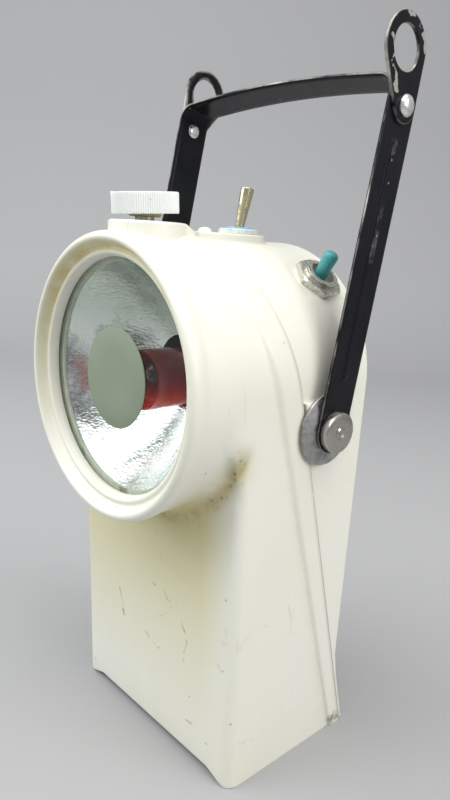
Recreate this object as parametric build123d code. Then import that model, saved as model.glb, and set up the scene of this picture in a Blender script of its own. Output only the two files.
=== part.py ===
from build123d import *
import os
from math import cos, pi, radians, sin, sqrt

# Railway hand lamp, in millimetres. x runs to the right seen from the front, y runs to the
# back (the lens looks along -y) and z runs up. The feet stand on z = 0, the lens axis lies in
# the plane x = 0 and depths are counted from the front of the lens lip.

# Casing
AXIS_Z = 180.0
BARREL_R = 59.2
LIP_R = BARREL_R + 0.8
ARCH_TOP = AXIS_Z + BARREL_R
INSIDE_TOP = ARCH_TOP - 14.2
BASE_HALF = 57.7
WALL = 3.0
FRONT_Y = 32.4
FRONT_LEAN = 0.031
FRONT_EDGE_R = 5.0
REAR_Y = 103.9
REAR_EDGE_R = 2.5
SEAM_Y = 110.6
SEAM_SLOPE = 0.295
BAND_Y = 100.8
BAND_SLOPE = 0.318
BAND_PROUD = 1.5
PLATE = 3.2
FOOT_HIGH = 3.8
FOOT_OUTER = BASE_HALF - 3.1
FOOT_INNER = FOOT_OUTER - 11.1
FLOOR_Z = 7.0
COVE_R = 9.0
COVE_Y = 29.5
REACH = ARCH_TOP + 20.8

# Lens stack, front to back
OPENING_R = BARREL_R - 9.3
BORE_R = BARREL_R - 3.4
STACK_R = BORE_R - 0.2
GROOVE_R = BORE_R + 1.2
GLASS_Y = 7.6
GLASS_THICK = 3.0
GASKET_R = OPENING_R - 1.5
GASKET_THICK = 1.2
SHEET = 0.9
NECK_R = 16.5
NECK_Y = 43.0
BOWL_R = OPENING_R - 0.6
RING_WIRE_R = 1.2
RING_GAP = 32.0
DISC_R = 21.5
DISC_THICK = 0.5

# Bulb, holder and red filter
STALK_R = 7.5
STALK_Y = 37.0
BRACKET_Y = 76.0
BRACKET_THICK = 1.5
POST_X = BARREL_R - 13.2
BRACKET_HALF = POST_X + 5.0
TUBE_Z = AXIS_Z - 2.3
TUBE_R = 13.3
TUBE_WALL = 1.2
TUBE_Y = 20.5
TUBE_LONG = 26.0
RUNNING = 0.08

# Filter selector
SPINDLE_Y = 20.2
SPINDLE_R = 4.0
COLLAR_R = 6.4
COLLAR_TOP = ARCH_TOP - 2.8
BOSS_Y = 21.4
BOSS_R = 15.9
BOSS_TOP = ARCH_TOP + 5.3
RAMP_Y = 34.2
RAMP_HALF = 10.5
CRANK_R = 20.0
CRANK_Z = AXIS_Z + BORE_R - 6.5
CRANK_THICK = 1.4
CRANK_PIN_R = 1.5
CRANK_PIN_Y = 18.5
FORK_X = 11.2
FORK_WIDE = 4.5
FORK_Z = CRANK_Z - 2.1
FORK_THICK = 1.8
FORK_PLAY = 0.35
KNOB_R = 13.8
KNOB_Z = BOSS_TOP + 3.0
KNOB_HIGH = 8.4
KNOB_FLUTES = 48
KNOB_FLUTE_DEEP = 0.45
KNOB_HUB_R = 6.6

# Top pad and its toggle
PAD_TOP = ARCH_TOP + 2.6
PAD_HALF = 12.0
TOP_SWITCH_Y = 73.6
BUSH_R = 5.9
TOP_NUT_R = 9.4
TOP_NUT_THICK = 2.4
TOP_LEVER_Z = PAD_TOP - 0.3
TOP_TILT = 11.5
TOP_BALL_R = 3.5
SWITCH_TOP = PAD_TOP - 6.3
SWITCH_LOW = SWITCH_TOP - 21.5
TAB_LONG = 6.0
PLUG_Y = 52.9
PLUG_R = 3.1
PLUG_RISE = 2.2
PLUG_STEM_R = 2.0

# Shoulder toggle, on a spoke of the arch
SIDE_ANGLE = 41.5
SIDE_Y = 86.0
SIDE_SEAT = BARREL_R - 0.9
SIDE_WALL = SIDE_SEAT - 3.8
SIDE_LOW = SIDE_WALL - 20.0
SIDE_BUSH_R = 7.75
SIDE_NUT_FLATS = 20.0
SIDE_NUT_THICK = 3.0
SIDE_TOP = SIDE_SEAT + 5.0
SIDE_PIVOT = SIDE_SEAT + 1.2
SIDE_TILT = 16.0
SIDE_SOCKET_R = 5.7
SIDE_BALL_R = 4.0

# Handle
PIVOT_Y = 72.7
PIVOT_Z = AXIS_Z - 16.6
HANDLE_LEAN = 10.3
PAD_OUT = BARREL_R + 2.3
PAD_LOW = PIVOT_Z - 13.9
PAD_HIGH = PIVOT_Z + 12.2
PAD_BACK = PIVOT_Y + 13.8
SEAM_GAP = 0.4
HANDLE_OUT = PAD_OUT + 4.5
STRIP = 1.5
STRIP_WIDE = 18.6
BAR_HIGH = 147.6
BAR_END = 143.6
BEND_R = 8.0
PIN_R = 4.0
PIN_END = PAD_OUT - 14.0
PIN_HEAD_R = 8.7
PIN_HEAD_THICK = 3.9
WASHER_R = 15.8
EYE_THICK = 1.6
EYE_LONG = 20.9
EYE_R = 13.2
EYE_HOLE_R = 8.5
EYE_FOOT_R = 6.8
RIVET_R = 2.5
RIVET_UP = 133.5
RIB_LOW = 22.0
RIB_HIGH = 121.0
EYE_TURN_RIGHT = -19.0
EYE_TURN_LEFT = 15.0

# Battery
BATTERY_HALF = 35.0
BATTERY_Y = 38.0
BATTERY_DEEP = 47.0
BATTERY_HIGH = 101.0
LEAD_R = 1.3

# Cover screws, at (x, z) on both sides
SCREW_LOW = (BASE_HALF - 13.7, 42.0)
SCREW_HIGH = (BARREL_R - 13.2, AXIS_Z + 14.0)
SCREW_R = 2.0
SCREW_HEAD = 2.2
SCREW_HEAD_R = 3.6
SCREW_SEAT = 7.0
SCREW_LONG = 18.0
PILLAR_R = 5.0

LENS_AXIS = Axis((0, 0, AXIS_Z), (0, 1, 0))


def seam(z):
    """Depth of the slanted parting plane at height z."""
    return SEAM_Y - SEAM_SLOPE * z


def front(z):
    """Depth of the leaning front face at height z."""
    return FRONT_Y - FRONT_LEAN * z


def band(z):
    """Depth of the front line of the proud band at height z."""
    return BAND_Y - BAND_SLOPE * z


def along_y(outline, start, end):
    """Prism of an x-z outline between two depths."""
    return Pos(0, end, 0) * extrude(Plane.XZ * outline, end - start)


def across_x(points, half=100):
    """Prism of a y-z polygon on both sides of the middle plane."""
    return extrude(Plane.YZ * make_face(Polyline(*points, close=True)), half, both=True)


def tombstone(grow, floor=0.0):
    """Casing outline: drafted sides under a half circle about the lens axis."""
    low = BASE_HALF + grow
    high = BARREL_R + grow
    foot = low + (high - low) * floor / AXIS_Z
    left = Line((-foot, floor), (-high, AXIS_Z))
    arch = ThreePointArc((-high, AXIS_Z), (0, AXIS_Z + high), (high, AXIS_Z))
    right = Line((high, AXIS_Z), (foot, floor))
    return make_face(left + arch + right + Line((foot, floor), (-foot, floor)))


def turned(points, axis=LENS_AXIS):
    """Ring turned about the lens axis from (depth, radius) points."""
    lifted = [(y, AXIS_Z + r) for y, r in points]
    return revolve(Plane.YZ * make_face(Polyline(*lifted, close=True)), axis)


def rod(start, end, radius):
    """Round bar between two points."""
    way = Vector(*end) - Vector(*start)
    return extrude(Plane(origin=start, z_dir=way) * Circle(radius), way.length)


def block(x0, x1, y0, y1, z0, z1):
    """Box from its six limits."""
    return Pos((x0 + x1) / 2, (y0 + y1) / 2, (z0 + z1) / 2) * Box(x1 - x0, y1 - y0, z1 - z0)


def mirrored(shape):
    """The shape and its mirror image across the middle plane."""
    return shape + mirror(shape, Plane.YZ)


def both_sides(shape):
    """Two separate solids, one on each side of the middle plane."""
    return Compound(children=[shape, mirror(shape, Plane.YZ)])


def screw_seat(z):
    """Depth of the face under a cover screw's head."""
    return seam(z) + SCREW_SEAT if z > 100 else REAR_Y - SCREW_HEAD - 0.4


# Front shell: box, barrel and lip around one arch
shell_side = across_x([(front(0), 0), (seam(0), 0), (seam(REACH), REACH), (front(REACH), REACH)])
box = along_y(tombstone(0), 0, 130) & shell_side
upright = [e for e in box.edges().filter_by(GeomType.LINE)
           if e.center().Y < 40 and abs(e.center().X) > 50 and e.length > 100]
box = fillet(upright, FRONT_EDGE_R)
band_side = across_x([(band(0), 0), (seam(0), 0), (seam(REACH), REACH), (band(REACH), REACH)])
belt = along_y(tombstone(BAND_PROUD), 0, 130) & band_side

lip = turned([
    (GLASS_Y, OPENING_R), (5.2, OPENING_R + 0.7), (3.4, OPENING_R + 2.5), (2.2, LIP_R - 5.6),
    (0.9, LIP_R - 4.6), (0.0, LIP_R - 3.0), (0.2, LIP_R - 1.4), (1.2, LIP_R - 0.3), (3.0, LIP_R),
    (5.5, LIP_R - 0.2), (8.0, BARREL_R), (35, BARREL_R), (35, OPENING_R),
])
cove = [(COVE_Y, BARREL_R - 1)]
for step in range(8):
    turn = pi / 2 * step / 7
    cove.append((COVE_Y - 0.3 - COVE_R * (1 - sin(turn)), BARREL_R + COVE_R * (1 - cos(turn))))
cove_ring = turned(cove + [(33, BARREL_R + COVE_R), (33, BARREL_R - 1)])
cove_ring = cove_ring & along_y(tombstone(0), 0, 60) & block(-2 * LIP_R, 2 * LIP_R, 0, 60, AXIS_Z - 2 * LIP_R, AXIS_Z)

boss = rod((0, BOSS_Y, INSIDE_TOP), (0, BOSS_Y, BOSS_TOP), BOSS_R)
ramp = across_x([(BOSS_Y, INSIDE_TOP), (BOSS_Y, BOSS_TOP), (RAMP_Y, BOSS_TOP), (seam(PAD_TOP), PAD_TOP),
                 (seam(INSIDE_TOP), INSIDE_TOP)], RAMP_HALF)

shell = box + belt + lip + cove_ring + boss + ramp
hollow_side = across_x([
    (front(FLOOR_Z) + WALL, FLOOR_Z), (130, FLOOR_Z), (130, REACH), (front(REACH) + WALL, REACH)])
hollow = along_y(tombstone(-WALL, FLOOR_Z), 0, 130) & hollow_side
bore = rod((0, GLASS_Y, AXIS_Z), (0, 60, AXIS_Z), BORE_R) & across_x(
    [(0, 100), (seam(100), 100), (seam(REACH), REACH), (0, REACH)])
groove_y = GLASS_Y + GLASS_THICK + GASKET_THICK + SHEET + 0.1
groove = turned([(groove_y, OPENING_R), (groove_y, GROOVE_R), (groove_y + 2.6, GROOVE_R),
                 (groove_y + 2.6, OPENING_R)])
opening = rod((0, -5, AXIS_Z), (0, 10, AXIS_Z), OPENING_R)
tunnel = along_y(make_face(Polyline(
    (-FOOT_OUTER, -1), (-FOOT_OUTER, 0), (-FOOT_INNER, FOOT_HIGH), (FOOT_INNER, FOOT_HIGH),
    (FOOT_OUTER, 0), (FOOT_OUTER, -1), close=True)), 0, 130)
spot = rod((0, SPINDLE_Y, INSIDE_TOP), (0, SPINDLE_Y, COLLAR_TOP), COLLAR_R + 0.6)
shell = shell - hollow - bore - groove - opening - tunnel - spot
shell = shell - rod((0, SPINDLE_Y, INSIDE_TOP), (0, SPINDLE_Y, REACH), SPINDLE_R + RUNNING)

# Posts, screw bosses and battery ribs inside the front shell
for side in (-1, 1):
    post = rod((side * POST_X, 28, AXIS_Z), (side * POST_X, BRACKET_Y, AXIS_Z), 4.5)
    web = block(*sorted((side * POST_X, side * (BARREL_R - 1.7))), 28, 54, AXIS_Z - 2, AXIS_Z + 2)
    shell = shell + post + web
    for x, z in (SCREW_LOW, SCREW_HIGH):
        boss_side = across_x([(0, 0), (seam(0), 0), (seam(REACH), REACH), (0, REACH)])
        tip = screw_seat(z) - SCREW_LONG
        pillar = rod((side * x, tip - 3, z), (side * x, seam(z) + 6, z), PILLAR_R)
        fin = block(*sorted((side * x, side * (BASE_HALF - 1.7))), tip - 3, seam(z) + 6, z - 2, z + 2)
        shell = shell + ((pillar + fin) & boss_side)
        shell = shell - rod((side * x, tip - 0.5, z), (side * x, 130, z), SCREW_R)
    shell = shell - rod((side * POST_X, BRACKET_Y - 10, AXIS_Z), (side * POST_X, 90, AXIS_Z), 1.5)
    shell = shell + block(*sorted((side * BATTERY_HALF, side * (BASE_HALF - 1.7))), 55, 58, FLOOR_Z - 1, 40)
for x in (-22, 0, 22):
    shell = shell + (block(x - 1.5, x + 1.5, 30, BATTERY_Y, FLOOR_Z - 1, 100) & box)

# Rear cover: wedge behind the seam, flat plate at its foot
behind = across_x([(seam(0), 0), (200, 0), (200, REACH), (seam(REACH), REACH)])
upper_back = across_x([(0, 0), (REAR_Y, 0), (REAR_Y, REACH), (0, REACH)])
plate_back = across_x([(0, 0), (seam(0) + PLATE, 0), (seam(REACH) + PLATE, REACH), (0, REACH)])
wedge = along_y(tombstone(0), 0, REAR_Y)
round_edges = [e for e in wedge.edges() if abs(e.center().Y - REAR_Y) < 0.1 and e.center().Z > 5]
wedge = fillet(round_edges, REAR_EDGE_R)
cover = (wedge + (along_y(tombstone(0), 0, 130) & plate_back)) & behind
hollow_foot = (SEAM_Y - REAR_Y + WALL) / SEAM_SLOPE
cover_hollow = along_y(tombstone(-WALL, 8.0), 0, REAR_Y - WALL) & across_x(
    [(REAR_Y - WALL, hollow_foot), (REAR_Y - WALL, REACH), (0, REACH), (0, hollow_foot)])
cover = cover - cover_hollow

pad = along_y(make_face(Polyline(
    (-PAD_HALF, INSIDE_TOP), (-PAD_HALF, PAD_TOP), (PAD_HALF, PAD_TOP), (PAD_HALF, INSIDE_TOP), close=True)),
    0, TOP_SWITCH_Y)
pad = (pad & behind) + rod((0, TOP_SWITCH_Y, INSIDE_TOP), (0, TOP_SWITCH_Y, PAD_TOP), PAD_HALF)
inner_arch = rod((0, 0, AXIS_Z), (0, 130, AXIS_Z), BARREL_R - WALL)
cover = cover + (pad - inner_arch)
cover = cover + block(-8, 8, TOP_SWITCH_Y - 11.5, TOP_SWITCH_Y + 11.5, SWITCH_TOP, ARCH_TOP - 1.2)
cover = cover - rod((0, TOP_SWITCH_Y, INSIDE_TOP), (0, TOP_SWITCH_Y, REACH), BUSH_R + 0.1)
cover = cover - rod((0, PLUG_Y, INSIDE_TOP), (0, PLUG_Y, REACH), PLUG_STEM_R)

pad_block = across_x([
    (seam(PAD_LOW + 0.5) + SEAM_GAP, PAD_LOW), (PAD_BACK, PAD_LOW), (PAD_BACK, PAD_HIGH),
    (seam(PAD_HIGH) + SEAM_GAP, PAD_HIGH)], PAD_OUT)
pad_block = pad_block - along_y(tombstone(-1.0), 0, 130)
cover = cover + pad_block
for side in (-1, 1):
    cover = cover - rod((side * PIN_END, PIVOT_Y, PIVOT_Z), (side * HANDLE_OUT, PIVOT_Y, PIVOT_Z), PIN_R)

for side in (-1, 1):
    x, z = SCREW_HIGH
    cover = cover + (rod((side * x, seam(z), z), (side * x, REAR_Y - 1, z), PILLAR_R + 0.6) & behind)
    cover = cover + (block(*sorted((side * x, side * (BASE_HALF - 1.7))), seam(z), REAR_Y - 1, z - 2, z + 2) & behind)
    for x, z in (SCREW_LOW, SCREW_HIGH):
        cover = cover - rod((side * x, 0, z), (side * x, 130, z), SCREW_R + 0.2)
        cover = cover - rod((side * x, screw_seat(z), z), (side * x, 130, z), SCREW_HEAD_R + 0.3)

spoke = Vector(sin(radians(SIDE_ANGLE)), 0, cos(radians(SIDE_ANGLE)))
side_origin = Vector(0, SIDE_Y, AXIS_Z)


def on_spoke(radius):
    """Point of the shoulder toggle's axis at a radius from the lens axis."""
    return tuple(side_origin + spoke * radius)


side_pad = rod(on_spoke(SIDE_WALL), on_spoke(SIDE_SEAT - 0.8), 11.0)
cover = cover + side_pad
cover = cover - rod(on_spoke(SIDE_SEAT), on_spoke(SIDE_TOP + 10), 13.6)
cover = cover - rod(on_spoke(SIDE_WALL - 10), on_spoke(SIDE_TOP + 10), SIDE_BUSH_R + 0.1)

# Lens stack
glass_back = GLASS_Y + GLASS_THICK
lens_glass = rod((0, GLASS_Y, AXIS_Z), (0, glass_back, AXIS_Z), STACK_R)
gasket_back = glass_back + GASKET_THICK
lens_gasket = turned([
    (glass_back, GASKET_R), (glass_back, STACK_R), (gasket_back, STACK_R), (gasket_back, GASKET_R)])
glare_disc = rod((0, GLASS_Y - DISC_THICK, AXIS_Z), (0, GLASS_Y, AXIS_Z), DISC_R)

bowl_k = (BOWL_R ** 2 - NECK_R ** 2) / (NECK_Y - gasket_back)
vertex_y = NECK_Y + NECK_R ** 2 / bowl_k
inner = [(vertex_y - r ** 2 / bowl_k, r) for r in (16.5, 20, 24, 28, 32, 36, 40, 44, 47, 49.3)]
outer = [(y + SHEET * 0.75, r + SHEET * 0.7) for y, r in inner]
flange_back = gasket_back + SHEET
outline = inner + [(gasket_back, STACK_R), (flange_back, STACK_R), (flange_back, outer[-1][1] + 0.2)]
reflector = turned(outline + outer[::-1][1:])

ring_y = groove_y + RING_WIRE_R
ring_r = GROOVE_R - RING_WIRE_R
ring_turn = 360 - 2 * RING_GAP
snap_ring = revolve(Plane.YZ * Pos(ring_y, AXIS_Z + ring_r) * Circle(RING_WIRE_R), LENS_AXIS, ring_turn)
snap_ring = snap_ring.rotate(LENS_AXIS, RING_GAP)

# Bulb and holder
bulb = turned([(24.2, 0), (24.6, 2.2), (25.8, 4.0), (27.6, 5.2), (29.6, 5.6), (31.8, 5.2), (34.0, 4.6),
               (STALK_Y - 1, 4.6), (STALK_Y - 1, 6.7), (STALK_Y, 6.7), (STALK_Y, 4.7), (48.0, 4.7),
               (49.5, 2.2), (50.0, 0)])
bulb_holder = turned([
    (STALK_Y, 4.75), (STALK_Y, STALK_R), (BRACKET_Y, STALK_R), (BRACKET_Y, 5.0),
    (BRACKET_Y + BRACKET_THICK, 5.0), (BRACKET_Y + BRACKET_THICK, 8.0), (BRACKET_Y + 4, 8.0),
    (BRACKET_Y + 4, 2.0), (BRACKET_Y + 8, 2.0), (BRACKET_Y + 8, 0), (50.0, 0), (50.0, 4.75)])
holder_bracket = block(-BRACKET_HALF, BRACKET_HALF, BRACKET_Y, BRACKET_Y + BRACKET_THICK,
                       AXIS_Z - 6, AXIS_Z + 6)
holder_bracket = holder_bracket - rod((0, 70, AXIS_Z), (0, 90, AXIS_Z), 5.0)
for side in (-1, 1):
    hole = rod((side * POST_X, 70, AXIS_Z), (side * POST_X, 90, AXIS_Z), 1.7)
    holder_bracket = holder_bracket - hole
bracket_back = BRACKET_Y + BRACKET_THICK
bracket_screw = (rod((POST_X, BRACKET_Y - 8, AXIS_Z), (POST_X, bracket_back, AXIS_Z), 1.5)
                 + rod((POST_X, bracket_back, AXIS_Z), (POST_X, bracket_back + 2, AXIS_Z), 3.0))
bracket_screws = both_sides(bracket_screw)

# Red tube and the carrier that slides it along the holder
tube_back = TUBE_Y + TUBE_LONG
tube_axis = Axis((0, 0, TUBE_Z), (0, 1, 0))
red_filter = (rod((0, TUBE_Y, TUBE_Z), (0, tube_back, TUBE_Z), TUBE_R)
              - rod((0, 0, TUBE_Z), (0, 60, TUBE_Z), TUBE_R - TUBE_WALL))
carrier = rod((0, tube_back - 3.5, TUBE_Z), (0, tube_back, TUBE_Z), TUBE_R - TUBE_WALL)
carrier = carrier + rod((0, tube_back, TUBE_Z), (0, tube_back + 2.5, TUBE_Z), TUBE_R + 0.3)
carrier = carrier + rod((0, tube_back + 2.5, AXIS_Z), (0, tube_back + 7, AXIS_Z), 9.8)
riser = along_y(make_face(Polyline(
    (0, AXIS_Z + 6), (8, AXIS_Z + 6), (FORK_X + FORK_WIDE, FORK_Z + FORK_THICK), (FORK_X, FORK_Z + FORK_THICK),
    close=True)),
    tube_back, tube_back + 2.5)
slot_front = CRANK_PIN_Y - CRANK_PIN_R - FORK_PLAY
slot_back = CRANK_PIN_Y + CRANK_PIN_R + FORK_PLAY
fork_front = slot_front - 1.6
bar = block(FORK_X, FORK_X + FORK_WIDE, fork_front, tube_back + 2.5, FORK_Z, FORK_Z + FORK_THICK)
fork = block(FORK_X, 21.3, fork_front, slot_back + 2.0, FORK_Z, FORK_Z + FORK_THICK)
slot = block(FORK_X + 3.5, 30, slot_front, slot_back, 220, 235)
stalk_hole = rod((0, 30, AXIS_Z), (0, 80, AXIS_Z), STALK_R + RUNNING)
filter_carrier = carrier + riser + bar + fork - slot - stalk_hole

crank_x = sqrt(CRANK_R ** 2 - (CRANK_PIN_Y - SPINDLE_Y) ** 2)
crank = Pos(0, 0, CRANK_Z) * extrude(make_hull(
    (Pos(0, SPINDLE_Y) * Circle(5.0) + Pos(crank_x, CRANK_PIN_Y) * Circle(2.3)).edges()), CRANK_THICK)
spindle = rod((0, SPINDLE_Y, CRANK_Z), (0, SPINDLE_Y, KNOB_Z + 5), SPINDLE_R)
spindle = spindle + rod((0, SPINDLE_Y, COLLAR_TOP - 2.0), (0, SPINDLE_Y, COLLAR_TOP), COLLAR_R)
crank_pin = rod((crank_x, CRANK_PIN_Y, FORK_Z - 0.1), (crank_x, CRANK_PIN_Y, CRANK_Z), CRANK_PIN_R)
selector_spindle = spindle + crank + crank_pin

knob_outline = []
for i in range(KNOB_FLUTES * 2):
    turn = pi * i / KNOB_FLUTES
    far = KNOB_R if i % 2 == 0 else KNOB_R - KNOB_FLUTE_DEEP
    knob_outline.append((far * cos(turn), far * sin(turn)))
knob = extrude(make_face(Polyline(*knob_outline, close=True)), KNOB_HIGH)
knob = knob + Pos(0, 0, -1.0) * extrude(Circle(KNOB_HUB_R), 1.0)
knob = Pos(0, SPINDLE_Y, KNOB_Z) * knob
selector_knob = knob - rod((0, SPINDLE_Y, KNOB_Z - 2), (0, SPINDLE_Y, KNOB_Z + 5), SPINDLE_R)

# Top toggle: housing with its bush, round nut and bat lever
housing = block(-6.5, 6.5, TOP_SWITCH_Y - 10, TOP_SWITCH_Y + 10, SWITCH_LOW, SWITCH_TOP)
housing = housing + rod((0, TOP_SWITCH_Y, SWITCH_TOP), (0, TOP_SWITCH_Y, PAD_TOP + 3.0), BUSH_R)
lever_y = TOP_SWITCH_Y - 0.4
housing = housing - rod((0, lever_y, TOP_LEVER_Z - TOP_BALL_R), (0, lever_y, REACH), TOP_BALL_R + RUNNING)
for x in (-3, 3):
    housing = housing + block(x - 0.4, x + 0.4, TOP_SWITCH_Y - 1.5, TOP_SWITCH_Y + 1.5,
                              SWITCH_LOW - TAB_LONG, SWITCH_LOW)
top_switch_body = housing
top_switch_nut = (rod((0, TOP_SWITCH_Y, PAD_TOP), (0, TOP_SWITCH_Y, PAD_TOP + TOP_NUT_THICK), TOP_NUT_R)
                  - rod((0, TOP_SWITCH_Y, INSIDE_TOP), (0, TOP_SWITCH_Y, REACH), BUSH_R + 0.02))


def bat(base, length, low_r, high_r, ball):
    """Toggle lever on +z: ball, cone widening upwards and a domed tip."""
    cone = revolve(Plane.XZ * make_face(Polyline(
        (0, 0), (low_r, 0), (low_r, base), (high_r, length - high_r * 0.5),
        (high_r * 0.8, length - high_r * 0.15), (high_r * 0.4, length), (0, length), close=True)), Axis.Z)
    return cone + Sphere(ball)


top_switch_lever = Pos(0, lever_y, TOP_LEVER_Z) * Rot(-TOP_TILT, 0, 0) * bat(5.0, 21.4, 2.1, 3.15, TOP_BALL_R)

dome_r = (PLUG_R ** 2 + PLUG_RISE ** 2) / (2 * PLUG_RISE)
dome = Pos(0, PLUG_Y, PAD_TOP + PLUG_RISE - dome_r) * Sphere(dome_r) & block(-5, 5, 40, 60, PAD_TOP, 250)
dome_plug = rod((0, PLUG_Y, PAD_TOP - 6.2), (0, PLUG_Y, PAD_TOP), PLUG_STEM_R) + dome

# Shoulder toggle
side_frame = Plane(origin=on_spoke(0), x_dir=(0, 1, 0), z_dir=tuple(spoke))


def on_side(shape):
    """Place a shape drawn about +z, with z as the radius from the lens axis."""
    return side_frame.location * shape


side_body = Pos(0, 0, (SIDE_LOW + SIDE_WALL) / 2) * Box(19, 15, SIDE_WALL - SIDE_LOW)
side_body = side_body + Pos(0, 0, SIDE_WALL) * extrude(Circle(SIDE_BUSH_R), SIDE_TOP - SIDE_WALL)
collar_cut = extrude(Circle(SIDE_BUSH_R + 1) - Circle(SIDE_BUSH_R - 0.7), 0.5)
side_body = side_body - Pos(0, 0, SIDE_TOP - 1.1) * collar_cut
side_body = side_body - Pos(0, 0, SIDE_WALL + 2.5) * extrude(Circle(SIDE_SOCKET_R), 10)
side_body = side_body - Pos(0, 0, SIDE_WALL + 0.4) * extrude(Circle(SIDE_BALL_R + RUNNING), 5)
for x in (-5, 5):
    side_body = side_body + Pos(x, 0, SIDE_LOW - 2) * Box(0.8, 3, 4)
side_switch_body = on_side(side_body)
nut = extrude(RegularPolygon(SIDE_NUT_FLATS / 2, 6, major_radius=False), SIDE_NUT_THICK)
chamfer = revolve(Plane.XZ * make_face(Polyline(
    (0, 0), (SIDE_NUT_FLATS / 2 + 0.8, 0), (SIDE_NUT_FLATS / 2 + 1.8, 1.0),
    (SIDE_NUT_FLATS / 2 + 1.8, 2.0), (SIDE_NUT_FLATS / 2 + 0.2, SIDE_NUT_THICK),
    (0, SIDE_NUT_THICK), close=True)), Axis.Z)
side_nut = (nut & chamfer) - extrude(Circle(SIDE_BUSH_R + 0.02), 10)
side_switch_nut = on_side(Pos(0, 0, SIDE_SEAT) * Rot(0, 0, 8) * side_nut)
side_switch_lever = on_side(Pos(0, 0, SIDE_PIVOT - 0.6) * Rot(-SIDE_TILT, 0, 0)
                            * bat(3.0, 14.4, 2.9, 3.4, SIDE_BALL_R))

# Handle: one strip bent into a bail, leaning back about its pivots
lean = Plane(origin=(0, PIVOT_Y, PIVOT_Z), x_dir=(1, 0, 0),
             z_dir=(0, -cos(radians(HANDLE_LEAN)), sin(radians(HANDLE_LEAN))))


def bail(half, top_mid, top_end, bend, low):
    """Bail outline with a slightly arched bar."""
    left = Line((-half, low), (-half, top_end))
    bar = ThreePointArc((-half, top_end), (0, top_mid), (half, top_end))
    right = Line((half, top_end), (half, low))
    face = make_face(left + bar + right + Line((half, low), (-half, low)))
    corners = [v for v in face.vertices() if v.Y > top_end - 1]
    return fillet(corners, bend)


strip = (bail(HANDLE_OUT, BAR_HIGH, BAR_END, BEND_R, -20)
         - bail(HANDLE_OUT - STRIP, BAR_HIGH - STRIP, BAR_END - STRIP, BEND_R - STRIP, -30))
strip = extrude(strip, STRIP_WIDE / 2, both=True)
side_view = Plane(origin=(0, 0, 0), x_dir=(0, 0, -1), z_dir=(1, 0, 0))
stadium = extrude(side_view * (Circle(STRIP_WIDE / 2) + Pos(0, 100) * Rectangle(STRIP_WIDE, 200)),
                  100, both=True)
rib = extrude(side_view * Pos(0, (RIB_LOW + RIB_HIGH) / 2) * Rot(0, 0, 90)
              * SlotOverall(RIB_HIGH - RIB_LOW, 4.2), 0.7)
bail_local = (strip & stadium) + Pos(HANDLE_OUT - 0.01, 0, 0) * rib
bail_local = bail_local + mirror(Pos(HANDLE_OUT - 0.01, 0, 0) * rib, Plane.YZ)
for up, radius in ((0, PIN_R + RUNNING), (RIVET_UP, RIVET_R + 0.02)):
    bail_local = bail_local - extrude(side_view * Pos(0, up) * Circle(radius), 100, both=True)
handle = lean.location * bail_local


def in_arm(across, up):
    """Point (y, z) from a position across and up the leaning arm."""
    a = radians(HANDLE_LEAN)
    return (PIVOT_Y + across * cos(a) + up * sin(a), PIVOT_Z - across * sin(a) + up * cos(a))


def eye_plate(side, turn):
    """Strap eye on the outside of one arm, turned about its rivet from the arm's line."""
    ring = make_hull((Circle(EYE_FOOT_R) + Pos(0, EYE_LONG) * Circle(EYE_R)).edges())
    ring = ring - Pos(0, EYE_LONG) * Circle(EYE_HOLE_R) - Circle(RIVET_R + RUNNING)
    y, z = in_arm(0, RIVET_UP)
    start = HANDLE_OUT if side > 0 else -HANDLE_OUT - EYE_THICK
    spot = Plane(origin=(start, y, z), x_dir=(0, 1, 0), z_dir=(1, 0, 0))
    return spot.location * Rot(0, 0, -HANDLE_LEAN - turn) * extrude(ring, EYE_THICK)


eye_plate_right = eye_plate(1, EYE_TURN_RIGHT)
eye_plate_left = eye_plate(-1, EYE_TURN_LEFT)
rivet_y, rivet_z = in_arm(0, RIVET_UP)
outer_face = HANDLE_OUT + EYE_THICK
back_face = HANDLE_OUT - STRIP
rivet_points = [(back_face - 1.2, 0), (back_face - 1.2, 3.0), (back_face, 3.6), (back_face, RIVET_R),
                (outer_face, RIVET_R), (outer_face, 4.4), (outer_face + 1.0, 4.1), (outer_face + 1.9, 3.1),
                (outer_face + 2.4, 1.6), (outer_face + 2.5, 0)]
rivet = revolve(Plane.XY * make_face(Polyline(*rivet_points, close=True)), Axis.X)
rivet = Pos(0, rivet_y, rivet_z) * rivet
eye_rivets = both_sides(rivet)

# Pivots
washer_points = [(back_face - 1.5, PIN_R), (back_face - 1.5, 8.0), (PAD_OUT, 14.2), (PAD_OUT, WASHER_R),
                 (PAD_OUT + 1.3, WASHER_R), (PAD_OUT + 1.5, 14.8), (back_face, 8.6), (back_face, PIN_R)]
washer = revolve(Plane.XY * make_face(Polyline(*washer_points, close=True)), Axis.X)
washer = Pos(0, PIVOT_Y, PIVOT_Z) * washer
pivot_washers = both_sides(washer)
head_back = HANDLE_OUT + 0.1
head_face = HANDLE_OUT + PIN_HEAD_THICK
pin_points = [(PIN_END, 0), (PIN_END, PIN_R), (head_back, PIN_R), (head_back, PIN_HEAD_R - 0.4),
              (head_back + 0.5, PIN_HEAD_R), (head_face - 0.5, PIN_HEAD_R), (head_face, PIN_HEAD_R - 0.5),
              (head_face, 2.6), (head_face + 0.5, 2.4), (head_face + 0.6, 1.8), (head_face + 0.3, 1.4),
              (head_face + 0.2, 0)]
pin = revolve(Plane.XY * make_face(Polyline(*pin_points, close=True)), Axis.X)
pivot_pins = both_sides(Pos(0, PIVOT_Y, PIVOT_Z) * pin)
wall_in = BARREL_R - WALL - 0.6
nut_in = extrude(Plane.YZ * (RegularPolygon(6.5, 6, major_radius=False) - Circle(PIN_R)), 5.0)
pivot_nuts = both_sides(Pos(wall_in - 5.0, PIVOT_Y, PIVOT_Z) * nut_in)
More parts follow.
